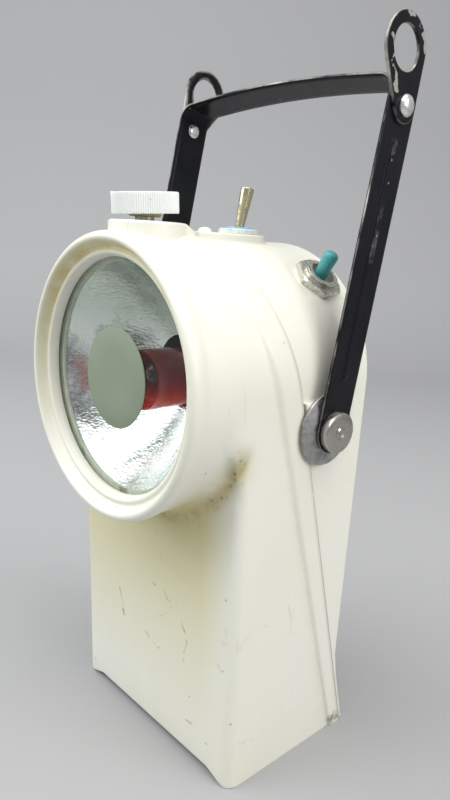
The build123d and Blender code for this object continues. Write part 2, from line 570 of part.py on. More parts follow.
cover = cover + mirrored(rod((wall_in, PIVOT_Y, PIVOT_Z), (BARREL_R - 1.7, PIVOT_Y, PIVOT_Z), 8.0)
                         - rod((PIN_END, PIVOT_Y, PIVOT_Z), (PAD_OUT, PIVOT_Y, PIVOT_Z), PIN_R))

# Screws that hold the cover
screws = []
for x, z in (SCREW_LOW, SCREW_HIGH):
    seat = screw_seat(z)
    screw = rod((x, seat - SCREW_LONG, z), (x, seat, z), SCREW_R)
    screw = screw + rod((x, seat, z), (x, seat + SCREW_HEAD, z), SCREW_HEAD_R)
    screws.append(screw)
    screws.append(mirror(screw, Plane.YZ))
cover_screws = Compound(children=screws)

# Battery, its pad and the leads
battery_back = BATTERY_Y + BATTERY_DEEP
battery_top = FLOOR_Z + BATTERY_HIGH
battery = block(-BATTERY_HALF, BATTERY_HALF, BATTERY_Y, battery_back, FLOOR_Z, battery_top)
for x in (-22, 22):
    tab_y = BATTERY_Y + 23.0
    battery = battery + block(x - 3.1, x + 3.1, tab_y - 0.4, tab_y + 0.4, battery_top, battery_top + TAB_LONG)
battery_pad = block(-25, 25, battery_back, REAR_Y - WALL, 62, 98)


def lead(radius, bend, points):
    """Round insulated wire with rounded turns."""
    path = FilletPolyline(*points, radius=bend)
    way = Vector(*points[1]) - Vector(*points[0])
    return sweep(Plane(origin=points[0], z_dir=way) * Circle(radius), path=path)


tab_top = battery_top + TAB_LONG
switch_tab = SWITCH_LOW - TAB_LONG
lead_positive = lead(LEAD_R, 6, [(22, 61, tab_top), (22, 61, 135), (22, 84, 150), (3, 84, 165),
                                 (3, 90, 195), (3, TOP_SWITCH_Y, 201), (3, TOP_SWITCH_Y, switch_tab)])
lead_negative = lead(LEAD_R, 6, [(-22, 61, tab_top), (-22, 61, 135), (-22, 84, 150), (0, 93, 165),
                                 (0, 93, AXIS_Z), (0, BRACKET_Y + 8, AXIS_Z)])
side_tab = side_origin + spoke * (SIDE_LOW - 4) - Vector(0, 5, 0)
lead_lamp = lead(LEAD_R, 4, [(-3, TOP_SWITCH_Y, switch_tab), (-3, TOP_SWITCH_Y, 200), (-3, 96, 196), (12, 96, 190),
                             tuple(side_tab - spoke * 8), tuple(side_tab)])

parts = {
    "front_shell": shell,
    "rear_cover": cover,
    "lens_glass": lens_glass,
    "lens_gasket": lens_gasket,
    "glare_disc": glare_disc,
    "reflector": reflector,
    "snap_ring": snap_ring,
    "bulb": bulb,
    "bulb_holder": bulb_holder,
    "holder_bracket": holder_bracket,
    "bracket_screws": bracket_screws,
    "red_filter": red_filter,
    "filter_carrier": filter_carrier,
    "selector_spindle": selector_spindle,
    "selector_knob": selector_knob,
    "top_switch_body": top_switch_body,
    "top_switch_nut": top_switch_nut,
    "top_switch_lever": top_switch_lever,
    "dome_plug": dome_plug,
    "side_switch_body": side_switch_body,
    "side_switch_nut": side_switch_nut,
    "side_switch_lever": side_switch_lever,
    "handle": handle,
    "eye_plate_right": eye_plate_right,
    "eye_plate_left": eye_plate_left,
    "eye_rivets": eye_rivets,
    "pivot_washers": pivot_washers,
    "pivot_pins": pivot_pins,
    "pivot_nuts": pivot_nuts,
    "cover_screws": cover_screws,
    "battery": battery,
    "battery_pad": battery_pad,
    "lead_positive": lead_positive,
    "lead_negative": lead_negative,
    "lead_lamp": lead_lamp,
}

# The finished lamp stands with the middle of its outline, seen from above, over the origin
boxes = [shape.bounding_box() for shape in parts.values()]
middle_y = (min(box.min.Y for box in boxes) + max(box.max.Y for box in boxes)) / 2
os.makedirs("parts", exist_ok=True)
for name, shape in parts.items():
    export_step(Pos(0, -middle_y, 0) * shape, f"parts/{name}.step")
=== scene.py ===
from math import atan2, cos, pi, radians, sin, sqrt

import bmesh
import bpy
import numpy as np
from mathutils import Matrix, Vector


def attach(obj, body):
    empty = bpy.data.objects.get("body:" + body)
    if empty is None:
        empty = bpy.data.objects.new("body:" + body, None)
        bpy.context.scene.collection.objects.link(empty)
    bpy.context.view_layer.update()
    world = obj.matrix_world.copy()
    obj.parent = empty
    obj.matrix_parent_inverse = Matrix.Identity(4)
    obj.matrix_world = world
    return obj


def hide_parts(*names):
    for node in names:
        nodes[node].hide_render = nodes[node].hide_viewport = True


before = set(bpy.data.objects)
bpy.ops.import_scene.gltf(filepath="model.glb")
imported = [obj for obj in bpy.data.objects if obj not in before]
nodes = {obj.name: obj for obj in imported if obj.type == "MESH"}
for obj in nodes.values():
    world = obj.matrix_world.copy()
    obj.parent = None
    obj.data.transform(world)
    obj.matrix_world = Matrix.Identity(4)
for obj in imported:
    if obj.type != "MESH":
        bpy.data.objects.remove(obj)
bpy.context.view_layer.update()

# Camera, floor and light: the lamp stands on a sweep of grey paper under soft lamps, seen from the
# right of its front. Sizes are mm, heights from the floor and depths from the front of the lens
# lip; the frame's own origin lies MIDDLE_Y further back, under the middle of the lamp.
MM = 0.001
MIDDLE_Y = 59.35
SENSOR_HIGH = 36
LENS_PER_HEIGHT = 671.5 / 800
eye = Vector((233.3, -146.9 - MIDDLE_Y, 238.1)) * MM
azimuth, elevation, roll = radians(46.93), radians(13.23), radians(3.40)
right = Vector((cos(azimuth), sin(azimuth), 0))
back = Vector((sin(azimuth) * cos(elevation), -cos(azimuth) * cos(elevation), sin(elevation)))
up = back.cross(right)
right, up = right * cos(roll) + up * sin(roll), up * cos(roll) - right * sin(roll)
camera_data = bpy.data.cameras.new("camera")
camera_data.sensor_fit = "VERTICAL"
camera_data.sensor_height = SENSOR_HIGH
camera_data.lens = LENS_PER_HEIGHT * SENSOR_HIGH
camera_data.clip_start = 0.01
camera = bpy.data.objects.new("camera", camera_data)
camera.matrix_world = Matrix.Translation(eye) @ Matrix((right, up, back)).transposed().to_4x4()
bpy.context.scene.collection.objects.link(camera)
bpy.context.scene.camera = camera
bpy.context.scene.view_settings.view_transform = "Standard"


def grid_mesh(name, points, loop_rows=False, loop_columns=False, crease=40.0, **marks):
    """Mesh of a grid of points, rows by columns by 3, in mm, as one object in the frame's metres.

    Each face joins points (i, j), (i, j+1), (i+1, j+1), (i+1, j), and the last row or column
    joins the first where it loops. Equal neighbours are merged, so a row may close to a pole.
    marks are arrays of rows by columns, kept as attributes for the materials.
    """
    rows, columns = points.shape[:2]
    index = np.arange(rows * columns).reshape(rows, columns)
    if loop_rows:
        index = np.vstack([index, index[:1]])
    if loop_columns:
        index = np.hstack([index, index[:, :1]])
    faces = np.stack([index[:-1, :-1], index[:-1, 1:], index[1:, 1:], index[1:, :-1]], -1).reshape(-1, 4)
    mesh = bpy.data.meshes.new(name)
    places = (points.reshape(-1, 3) - [0, MIDDLE_Y, 0]) * MM
    mesh.from_pydata(places.tolist(), [], faces.tolist())
    for mark, values in marks.items():
        attribute = mesh.attributes.new(mark, "FLOAT", "POINT")
        attribute.data.foreach_set("value", np.ascontiguousarray(values, dtype=np.float32).ravel())
    return finish_mesh(name, mesh, crease)


def finish_mesh(name, mesh, crease):
    """Object of a mesh with doubles merged, faces outwards and edges sharp above an angle."""
    work = bmesh.new()
    work.from_mesh(mesh)
    bmesh.ops.remove_doubles(work, verts=work.verts, dist=2e-6)
    bmesh.ops.dissolve_degenerate(work, edges=work.edges, dist=1e-7)
    bmesh.ops.recalc_face_normals(work, faces=work.faces)
    work.to_mesh(mesh)
    work.free()
    mesh.shade_smooth()
    mesh.set_sharp_from_angle(angle=radians(crease))
    piece = bpy.data.objects.new(name, mesh)
    bpy.context.scene.collection.objects.link(piece)
    return piece


def new_material(name, **sockets):
    """Principled material with plain socket values.

    Returns it with its node tree, its shader and the socket that gives a point's place in the
    frame, in metres.
    """
    material = bpy.data.materials.new(name)
    material.use_nodes = True
    shader = material.node_tree.nodes["Principled BSDF"]
    for socket, value in sockets.items():
        shader.inputs[socket.replace("_", " ")].default_value = value
    place = material.node_tree.nodes.new("ShaderNodeTexCoord").outputs["Object"]
    return material, material.node_tree, shader, place


def add(tree, kind, sockets=None, **settings):
    """Node of one kind with settings, and sockets given as values or as sockets to link from."""
    node = tree.nodes.new(kind)
    for key, value in settings.items():
        setattr(node, key, value)
    for key, value in (sockets or {}).items():
        if isinstance(value, bpy.types.NodeSocket):
            tree.links.new(value, node.inputs[key])
        else:
            node.inputs[key].default_value = value
    return node


def blend_colours(tree, amount, first, second, mode="MIX"):
    """Colour of two blended by an amount; each is a value or a socket."""
    mix = add(tree, "ShaderNodeMix", {0: amount, 6: first, 7: second}, data_type="RGBA", blend_type=mode)
    return mix.outputs[2]


def value_step(tree, operation, first, second, clamp=False):
    """Result of one arithmetic step on two values or sockets."""
    step = add(tree, "ShaderNodeMath", {0: first, 1: second}, operation=operation, use_clamp=clamp)
    return step.outputs[0]


def noise_of(tree, place, scale, detail):
    """Cloudy value from 0 to 1 at a place."""
    sockets = {"Vector": place, "Scale": scale, "Detail": detail}
    return add(tree, "ShaderNodeTexNoise", sockets).outputs["Fac"]


# The sweep lies flat on the floor, bends up through a quarter circle and ends as a wall
SWEEP_HALF, SWEEP_NEAR, SWEEP_FLAT, SWEEP_BEND, SWEEP_TOP = 2400, 2600, 1000, 600, 2600
sweep_x = np.linspace(-SWEEP_HALF, SWEEP_HALF, 25)
quarter = np.linspace(0, pi / 2, 16)[1:]
sweep_path = np.concatenate([
    np.stack([np.linspace(-SWEEP_NEAR, SWEEP_FLAT, 20), np.zeros(20)], -1),
    np.stack([SWEEP_FLAT + SWEEP_BEND * np.sin(quarter), SWEEP_BEND * (1 - np.cos(quarter))], -1),
    np.array([[SWEEP_FLAT + SWEEP_BEND, SWEEP_TOP]]),
])
facing = radians(-47)
sweep_points = np.zeros((len(sweep_path), len(sweep_x), 3))
sweep_points[..., 0] = sweep_x * cos(facing) + sweep_path[:, :1] * sin(facing)
sweep_points[..., 1] = sweep_path[:, :1] * cos(facing) - sweep_x * sin(facing)
sweep_points[..., 2] = sweep_path[:, 1:]
wall_light_mark = np.clip(np.linspace(-0.1, 1.4, len(sweep_path)), 0, 1)[:, None] + 0 * sweep_x
backdrop = grid_mesh("backdrop", sweep_points, wall=wall_light_mark)
paper, tree, shader, place = new_material("grey paper", Roughness=0.85)
cloud = noise_of(tree, place, 3.0, 4.0)
floor_tint = blend_colours(tree, cloud, (0.275, 0.275, 0.279, 1), (0.298, 0.298, 0.302, 1))
# The wall part of the one grey paper is painted lighter than the floor: painted light.
wall_light_share = add(tree, "ShaderNodeAttribute", attribute_name="wall").outputs["Fac"]
tint = blend_colours(tree, wall_light_share, floor_tint, (0.445, 0.445, 0.450, 1))
tree.links.new(tint, shader.inputs["Base Color"])
backdrop.data.materials.append(paper)

world = bpy.data.worlds.new("studio")
bpy.context.scene.world = world
world.use_nodes = True
world.node_tree.nodes["Background"].inputs["Color"].default_value = (0.95, 0.965, 1.0, 1)
world.node_tree.nodes["Background"].inputs["Strength"].default_value = 0.47


def soft_lamp(name, place, aim, width, height, watts, colour):
    """Rectangular lamp at a place in mm of the frame, turned towards an aim point."""
    data = bpy.data.lights.new(name, "AREA")
    data.shape = "RECTANGLE"
    data.size = width * MM
    data.size_y = height * MM
    data.energy = watts
    data.color = colour
    lamp = bpy.data.objects.new(name, data)
    way = Vector(aim) - Vector(place)
    turned = way.to_track_quat("-Z", "Y").to_matrix().to_4x4()
    lamp.matrix_world = Matrix.Translation(Vector(place) * MM) @ turned
    bpy.context.scene.collection.objects.link(lamp)


soft_lamp("ceiling", (150, -260, 1350), (0, 0, 150), 1700, 1300, 20.0, (1.0, 0.99, 0.97))
soft_lamp("window", (1100, 240, 700), (0, 0, 150), 700, 700, 6.5, (1.0, 0.99, 0.98))
soft_lamp("front", (-900, -1100, 1000), (0, 0, 170), 1500, 1300, 16.5, (0.94, 0.985, 1.0))

# Front shell: one satin cream moulding of box, barrel and lip, 3 mm thick. Painted shade and grime lie in the
# corner under the barrel; grime lies in the hollow of the lip and along the proud band at the seam.
AXIS_Z = 180.0
BARREL_R = 59.2
BASE_HALF = 57.7
EDGE_R = 5.0
COVE_R = 9.0
BAND_PROUD = 1.5
WALL = 3.0
FLOOR_T = 7.0
LIP_SEAT, LIP_BACK = 8.6, 11.0
BORE_R, BORE_BACK = 55.8, 36.0
FOOT_HIGH, FOOT_INNER, FOOT_OUTER, FOOT_ROUND = 3.8, 43.5, 54.6, 0.8
SEAM_FOOT, SEAM_SLOPE = 110.6, 0.295
BAND_FOOT, BAND_SLOPE = 100.8, 0.318
FACE_FOOT, FACE_SLOPE = 32.4, 0.031


def seam(z):
    """Depth of the slanted parting plane: its depth at the floor less its slope times the height."""
    return SEAM_FOOT - SEAM_SLOPE * z


def band(z):
    """Depth of the front line of the proud band, straight and slanted like the seam."""
    return BAND_FOOT - BAND_SLOPE * z


def front(z):
    """Depth of the front face, a plane that leans forward a little as it rises."""
    return FACE_FOOT - FACE_SLOPE * z


def smooth(t):
    """Smooth step from 0 to 1: 3 t^2 - 2 t^3, held at both ends."""
    t = np.clip(t, 0, 1)
    return t * t * (3 - 2 * t)


def soften(points):
    """Open profile with its corners cut three times, each time a quarter from both ends of a side."""
    for _ in range(3):
        low = points[:-1] * 0.75 + points[1:] * 0.25
        high = points[:-1] * 0.25 + points[1:] * 0.75
        inner = np.stack([low, high], 1).reshape(-1, points.shape[1])
        points = np.concatenate([points[:1], inner, points[-1:]])
    return points


def side_reach(turns, grow=0.0):
    """Radius from the lens axis to the casing's side or arch at each turn from straight down.

    The arch is a circle. Below the axis the side leans in by (arch - base) over the axis height,
    so radius = arch / (sin + slope * cos).
    """
    slope = (BARREL_R - BASE_HALF) / AXIS_Z
    lower = np.cos(turns) > 0
    sideways = np.abs(np.sin(turns)) + slope * np.cos(turns)
    return np.where(lower, (BARREL_R + grow) / np.maximum(sideways, 1e-3), BARREL_R + grow)


def foot_reach(turns):
    """Radius from the lens axis to the bottom: flat runners with a shallow tunnel between.

    The radius is the axis height above the bottom, divided by the cosine of the turn. The tunnel's
    lift depends on the place across, so the two are found in turn, four times.
    """
    fall = np.maximum(np.cos(turns), 1e-3)
    across = np.abs(AXIS_Z * np.sin(turns) / fall)
    for _ in range(4):
        lift = np.interp(across, [0, FOOT_INNER, FOOT_OUTER, 1000], [FOOT_HIGH, FOOT_HIGH, 0, 0])
        across = np.abs((AXIS_Z - lift) * np.sin(turns) / fall)
    reach = (AXIS_Z - lift) / fall
    return np.where(np.cos(turns) > 1e-3, reach, 1e6)


# Turns about the lens axis from straight down, with one on each corner of the feet
corner = float(np.arctan2(BASE_HALF, AXIS_Z))
marks_at = [0, atan2(FOOT_INNER, AXIS_Z - FOOT_HIGH), atan2(FOOT_OUTER, AXIS_Z), corner]
half_turn = np.unique(np.concatenate([
    np.linspace(0, marks_at[1], 18), np.linspace(marks_at[1], marks_at[2], 7),
    np.linspace(marks_at[2], corner, 4), corner + (pi / 2 - corner) * np.linspace(0, 1, 74) ** 1.25,
    np.linspace(pi / 2, pi, 110),
]))
turns = np.concatenate([-half_turn[::-1][:-1], half_turn])[:-1]


def around(radius, depth):
    """Points at a radius and depth for each turn about the lens axis; rows by turns by 3."""
    return np.stack([radius * np.sin(turns), depth, AXIS_Z - radius * np.cos(turns)], -1)


reach = np.minimum(side_reach(turns), foot_reach(turns))
proud_reach = np.minimum(side_reach(turns, BAND_PROUD), foot_reach(turns))
inner_reach = np.minimum(side_reach(turns, -WALL), (AXIS_Z - FLOOR_T) / np.maximum(np.cos(turns), 1e-3))
edge_z = AXIS_Z - reach * np.cos(turns)
lip = soften(np.array([
    (LIP_SEAT, 49.9), (7.2, 49.9), (6.0, 50.3), (4.4, 51.0), (4.0, 52.2), (4.9, 53.2), (4.6, 54.4),
    (2.2, 55.4), (0.2, 56.4), (-0.1, 57.9), (1.0, 59.6), (3.2, 60.2), (6.0, 60.0), (8.2, 59.3),
    (LIP_BACK, BARREL_R)]))
lip_rows = around(lip[:, 1:] + 0 * turns, lip[:, :1] + 0 * turns)

spare = np.clip(reach - BARREL_R, 0, None)
cove = np.minimum(COVE_R, spare * 0.5)
side_on = reach >= foot_reach(turns) - 1e-6
lean_out = np.where(side_on, np.cos(turns), np.abs(np.sin(turns)))
EDGES = (
    (side_reach(turns), np.abs(np.sin(turns)), EDGE_R),
    (foot_reach(turns), np.maximum(np.cos(turns), 0), FOOT_ROUND),
)


def edge_round(limit, lean, rounding):
    """Rounding of an edge, at most 0.45 of the face's width between barrel and edge."""
    return np.minimum(rounding, np.maximum((limit - BARREL_R) * lean * 0.45, 1e-3))


def face_depth(radius):
    """Depth of the front face with its rounded side and bottom edges.

    Within the rounding r of an edge the face falls back by r - sqrt(r^2 - (r - a)^2), where a is
    the distance to the side or bottom plane.
    """
    z = AXIS_Z - radius * np.cos(turns)
    depth = front(z)
    for limit, lean, rounding in EDGES:
        rounding = edge_round(limit, lean, rounding)
        inside = np.clip(rounding - (limit - radius) * lean, 0, rounding)
        depth = depth + rounding - np.sqrt(np.maximum(rounding ** 2 - inside ** 2, 0))
    return depth


# Body rows run from the lip back along the barrel, through the hollow corner, over the face and
# its edge and along the side. Where the casing is no wider than the barrel they are evenly spaced.
cove_top = front(AXIS_Z - (BARREL_R + cove) * np.cos(turns))
box_radius, box_depth = [], []
for step in np.linspace(0, 1, 7)[1:-1]:
    box_radius.append(np.full_like(turns, BARREL_R))
    box_depth.append(LIP_BACK + (cove_top - cove - LIP_BACK) * step)
for quarter in np.linspace(0, pi / 2, 10):
    box_radius.append(BARREL_R + cove * (1 - cos(quarter)))
    box_depth.append(cove_top - cove * (1 - sin(quarter)))
flat_end = np.min([
    limit - edge_round(limit, lean, rounding) / np.maximum(lean, 1e-3)
    for limit, lean, rounding in EDGES], axis=0)
flat_end = np.maximum(flat_end, BARREL_R + cove)
for step in np.linspace(0, 1, 14)[1:]:
    radius = BARREL_R + cove + (flat_end - BARREL_R - cove) * step
    box_radius.append(radius)
    box_depth.append(face_depth(radius))
for quarter in np.linspace(0, pi / 2, 8)[1:]:
    radius = flat_end + (reach - flat_end) * sin(quarter)
    box_radius.append(radius)
    box_depth.append(face_depth(radius))
last_depth = box_depth[-1]
side_end = band(edge_z) - 0.9
for step in np.linspace(0, 1, 12)[1:]:
    box_radius.append(reach)
    box_depth.append(last_depth + (side_end - last_depth) * step)
box_radius = np.array(box_radius)
box_depth = np.array(box_depth)
count = len(box_radius)
steps = (np.arange(count)[:, None] + 1) / count
tube_depth = LIP_BACK + (side_end - LIP_BACK) * steps
tube_radius = BARREL_R + spare * smooth((tube_depth - 17.0) / 14.0)
boxy = smooth((spare - 0.6) / 9.0)
body_radius = tube_radius + (box_radius - tube_radius) * boxy
body_depth = tube_depth + (box_depth - tube_depth) * boxy
body_rows = around(body_radius, body_depth)

# Belt rows step out to the proud band, turn in at the seam and go forward along the inner wall and
# the bore that holds the lens
band_z = AXIS_Z - proud_reach * np.cos(turns)
belt_radius, belt_depth = [], []
for back_by, rise in ((-0.3, 0.04), (0.5, 0.22), (1.3, 0.55), (2.1, 0.84), (2.9, 0.97), (3.7, 1.0)):
    belt_radius.append(reach + (proud_reach - reach) * rise)
    belt_depth.append(band(band_z) + back_by)
for before, drop in ((2.5, 0.0), (0.8, 0.0), (0.25, 0.15), (0.02, 0.5)):
    belt_radius.append(proud_reach - drop)
    belt_depth.append(seam(band_z) - before)
inner_z = AXIS_Z - inner_reach * np.cos(turns)
belt_radius.append(inner_reach)
belt_depth.append(seam(inner_z) - 0.02)
belt_radius.append(inner_reach)
belt_depth.append(np.minimum(BORE_BACK, seam(inner_z) - 3.0))
for depth in (BORE_BACK - 0.6, 24.0, LIP_SEAT):
    belt_radius.append(np.full_like(turns, BORE_R))
    belt_depth.append(np.full_like(turns, depth))
belt_rows = around(np.array(belt_radius), np.array(belt_depth))

# Marks for the dirt and the painted shade fall off as exp(-(distance / width)^2) from the hollow under the
# barrel, the hollow of the lip, the front line of the band and the seam
shell_points = np.concatenate([lip_rows, body_rows, belt_rows])
height = shell_points[..., 2]
depth = shell_points[..., 1]
span = np.hypot(shell_points[..., 0], height - AXIS_Z)
cove_mark = np.exp(-((depth - 28.5) / 4.5) ** 2 - ((span - 62.5) / 4.0) ** 2)
cove_mark = cove_mark * smooth((np.sin(turns) + 0.45) / 0.7) * smooth(np.cos(turns) * 4 - 0.9)
rim_mark = np.exp(-((span - 54.4) / 2.5) ** 2) * (depth < 9)
band_mark = np.exp(-((depth - band(height)) / 1.3) ** 2) * (span > 58)
seam_mark = np.exp(-((depth - seam(height)) / 0.7) ** 2) * (span > 58)
shell = grid_mesh("front_shell_skin", shell_points, loop_rows=True, loop_columns=True, crease=38,
                  cove=cove_mark, rim=rim_mark, band=band_mark, seam=seam_mark)
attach(shell, "casing")
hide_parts("front_shell")


def effect(name, **inputs):
    """Shader node group that makes a mask of a place and of inputs, given with their first values.

    Returns its tree, the sockets that bring in the inputs and the socket that takes the mask.
    """
    group = bpy.data.node_groups.new(name, "ShaderNodeTree")
    group.interface.new_socket("Place", in_out="INPUT", socket_type="NodeSocketVector")
    for label, value in inputs.items():
        kind = "NodeSocketVector" if isinstance(value, tuple) else "NodeSocketFloat"
        group.interface.new_socket(label, in_out="INPUT", socket_type=kind).default_value = value
    group.interface.new_socket("Mask", in_out="OUTPUT", socket_type="NodeSocketFloat")
    source = group.nodes.new("NodeGroupInput").outputs
    return group, source, group.nodes.new("NodeGroupOutput").inputs["Mask"]


def ramp(tree, value, low, high):
    """Value from 0 at low to 1 at high, held at both ends."""
    return add(tree, "ShaderNodeMapRange", {"Value": value, "From Min": low, "From Max": high}).outputs[0]


def times(tree, first, second):
    """Product of two values or sockets."""
    return value_step(tree, "MULTIPLY", first, second)


def vector_step(tree, operation, first, second, output="Vector"):
    """Result of one step on two vectors, or on a vector and the amount that scales it."""
    key = "Scale" if operation == "SCALE" else 1
    step = add(tree, "ShaderNodeVectorMath", {0: first, key: second}, operation=operation)
    return step.outputs[output]


def use(tree, group, **sockets):
    """Mask of one use of an effect group with its named values."""
    return add(tree, "ShaderNodeGroup", sockets, node_tree=group).outputs["Mask"]


def mark(tree, name):
    """Value of one of the mesh's marks."""
    return add(tree, "ShaderNodeAttribute", attribute_name=name).outputs["Fac"]


def stain(tree, mask, strength, under, over):
    """Colour with another over it, by a mask times a strength."""
    return blend_colours(tree, times(tree, mask, strength), under, over)


def emboss(tree, shader, height, strength, distance):
    """Bump of a height on the shader's normal; distance is in metres where the height is 1."""
    bump = add(tree, "ShaderNodeBump", {"Height": height, "Strength": strength, "Distance": distance})
    tree.links.new(bump.outputs[0], shader.inputs["Normal"])


# Blotches: cloudy stains that cover a share of the surface with soft borders
blotches, source, mask = effect("blotches", Scale=40.0, Cover=0.4, Softness=0.1)
noise = add(blotches, "ShaderNodeTexNoise", {"Vector": source["Place"], "Scale": source["Scale"],
                                              "Detail": 8.0, "Roughness": 0.62})
middle = value_step(blotches, "SUBTRACT", 1.0, source["Cover"])
low = value_step(blotches, "SUBTRACT", middle, source["Softness"])
high = value_step(blotches, "ADD", middle, source["Softness"])
blotches.links.new(ramp(blotches, noise.outputs["Fac"], low, high), mask)

# Specks: small round dots at random places, of which only a share shows
specks, source, mask = effect("specks", Scale=300.0, Share=0.1, Size=0.25)
cells = add(specks, "ShaderNodeTexVoronoi", {"Vector": source["Place"], "Scale": source["Scale"]})
lottery = add(specks, "ShaderNodeSeparateColor", {"Color": cells.outputs["Color"]}).outputs["Red"]
chosen = value_step(specks, "LESS_THAN", lottery, source["Share"])
half_size = times(specks, source["Size"], 0.5)
dot = ramp(specks, cells.outputs["Distance"], source["Size"], half_size)
specks.links.new(times(specks, dot, chosen), mask)

# Scratches: thin broken lines that run mostly one way
scratches, source, mask = effect("scratches", Scale=60.0, Width=0.02, Share=0.45)
sway = add(scratches, "ShaderNodeTexNoise", {"Vector": source["Place"], "Scale": 25.0, "Detail": 2.0})
shift = vector_step(scratches, "MULTIPLY", sway.outputs["Color"], (0.012, 0.012, 0.012))
moved = vector_step(scratches, "ADD", source["Place"], shift)
drawn = add(scratches, "ShaderNodeMapping", {"Vector": moved, "Rotation": (0.3, 0.5, 0.7),
                                             "Scale": (1.0, 1.0, 0.13)})
veins = add(scratches, "ShaderNodeTexVoronoi", {"Vector": drawn.outputs[0], "Scale": source["Scale"]},
            feature="DISTANCE_TO_EDGE")
line = ramp(scratches, veins.outputs["Distance"], source["Width"], 0.0)
broken = use(scratches, blotches, Place=source["Place"], Scale=70.0, Cover=source["Share"], Softness=0.03)
scratches.links.new(times(scratches, line, broken), mask)

# Scuff: one mark along the way between two points, bent and thinned here and there by noise
scuff, source, mask = effect("scuff", From=(0, 0, 0), To=(0, 0, 0.01), Width=0.001, Ragged=1.0)
way = vector_step(scuff, "SUBTRACT", source["To"], source["From"])
sway = add(scuff, "ShaderNodeTexNoise", {"Vector": source["Place"], "Scale": 110.0, "Detail": 1.0})
bend = vector_step(scuff, "SUBTRACT", sway.outputs["Color"], (0.5, 0.5, 0.5))
bend = vector_step(scuff, "SCALE", bend, 0.008)
bent = vector_step(scuff, "ADD", source["Place"], bend)
gone = vector_step(scuff, "SUBTRACT", bent, source["From"])
along = vector_step(scuff, "DOT_PRODUCT", gone, way, "Value")
length = vector_step(scuff, "DOT_PRODUCT", way, way, "Value")
share = value_step(scuff, "DIVIDE", along, length, clamp=True)
nearest = vector_step(scuff, "SCALE", way, share)
apart = vector_step(scuff, "DISTANCE", gone, nearest, "Value")
ragged = noise_of(scuff, source["Place"], 420.0, 3.0)
thin = add(scuff, "ShaderNodeMapRange", {"Value": ragged, "From Min": 0.34, "From Max": 0.62,
                                         "To Min": -1.0, "To Max": 1.0}).outputs[0]
thin = value_step(scuff, "ADD", times(scuff, thin, source["Ragged"]), 1.0)
width = times(scuff, source["Width"], thin)
scuff.links.new(ramp(scuff, apart, width, 0.0), mask)

# Scuffs of the casing: dark marks and two curved scratches low on the front, a few ticks on the
# side and the chipped, dirty foot of the band. From, to, half width, strength; in metres.
SCUFFS = [
    ((-0.0264, -0.0289, 0.0629), (-0.0219, -0.0285, 0.0501), 0.0008, 0.85),
    ((-0.0007, -0.0294, 0.0793), (0.0111, -0.0294, 0.0783), 0.0005, 0.58),
    ((0.0111, -0.0294, 0.0783), (0.0202, -0.0292, 0.0733), 0.0005, 0.58),
    ((0.0224, -0.0292, 0.0734), (0.0270, -0.0289, 0.0634), 0.0006, 0.75),
    ((0.0270, -0.0289, 0.0634), (0.0260, -0.0285, 0.0493), 0.0005, 0.69),
    ((-0.0045, -0.0285, 0.0492), (0.0078, -0.0284, 0.0468), 0.0008, 0.52),
    ((-0.0412, -0.0275, 0.0193), (-0.0384, -0.0273, 0.0116), 0.0005, 0.75),
    ((-0.0001, -0.0277, 0.0228), (0.0082, -0.0277, 0.0242), 0.0005, 0.52),
    ((0.0284, -0.0276, 0.0211), (0.0364, -0.0276, 0.0208), 0.0008, 0.75),
    ((-0.0548, -0.0272, 0.0082), (-0.0506, -0.0272, 0.0086), 0.0008, 0.75),
    ((0.0075, -0.0289, 0.0640), (0.0194, -0.0293, 0.0760), 0.0004, 0.40),
    ((0.0423, -0.0274, 0.0150), (0.0478, -0.0274, 0.0150), 0.0005, 0.52),
    ((0.0584, -0.0122, 0.0817), (0.0583, -0.0104, 0.0771), 0.0004, 0.58),
    ((0.0579, -0.0239, 0.0222), (0.0579, -0.0050, 0.0221), 0.0004, 0.40),
    ((0.0580, 0.0037, 0.0333), (0.0579, 0.0075, 0.0250), 0.0004, 0.40),
    ((0.0592, 0.0448, 0.0044), (0.0592, 0.0505, 0.0020), 0.0034, 0.95),
    ((0.0579, 0.0388, 0.0225), (0.0578, 0.0423, 0.0150), 0.0005, 0.46),
]
cream, tree, shader, place = new_material("worn cream plastic", Roughness=0.4)

# Two close creams, with yellowed patches and a broad yellow-olive painted shade under the barrel
cloud = use(tree, blotches, Place=place, Scale=22.0, Cover=0.5, Softness=0.3)
colour = blend_colours(tree, cloud, (0.79, 0.79, 0.71, 1), (0.765, 0.76, 0.665, 1))
yellowed = use(tree, blotches, Place=place, Scale=13.0, Cover=0.42, Softness=0.12)
colour = stain(tree, yellowed, 0.4, colour, (0.74, 0.71, 0.55, 1))
apart = add(tree, "ShaderNodeSeparateXYZ", {"Vector": place})
height = apart.outputs["Z"]
# Painted shade on the front face under the barrel, fading out towards the side corner
under_barrel_shade = times(tree, ramp(tree, apart.outputs["Y"], -0.020, -0.027), ramp(tree, height, 0.020, 0.115))
under_barrel_shade = times(tree, under_barrel_shade, ramp(tree, apart.outputs["Y"], -0.050, -0.042))
under_barrel_shade = times(tree, under_barrel_shade, ramp(tree, apart.outputs["X"], 0.055, 0.036))
under_barrel_shade = times(tree, under_barrel_shade, ramp(tree, height, 0.158, 0.130))
colour = stain(tree, under_barrel_shade, 0.88, colour, (0.62, 0.56, 0.27, 1))
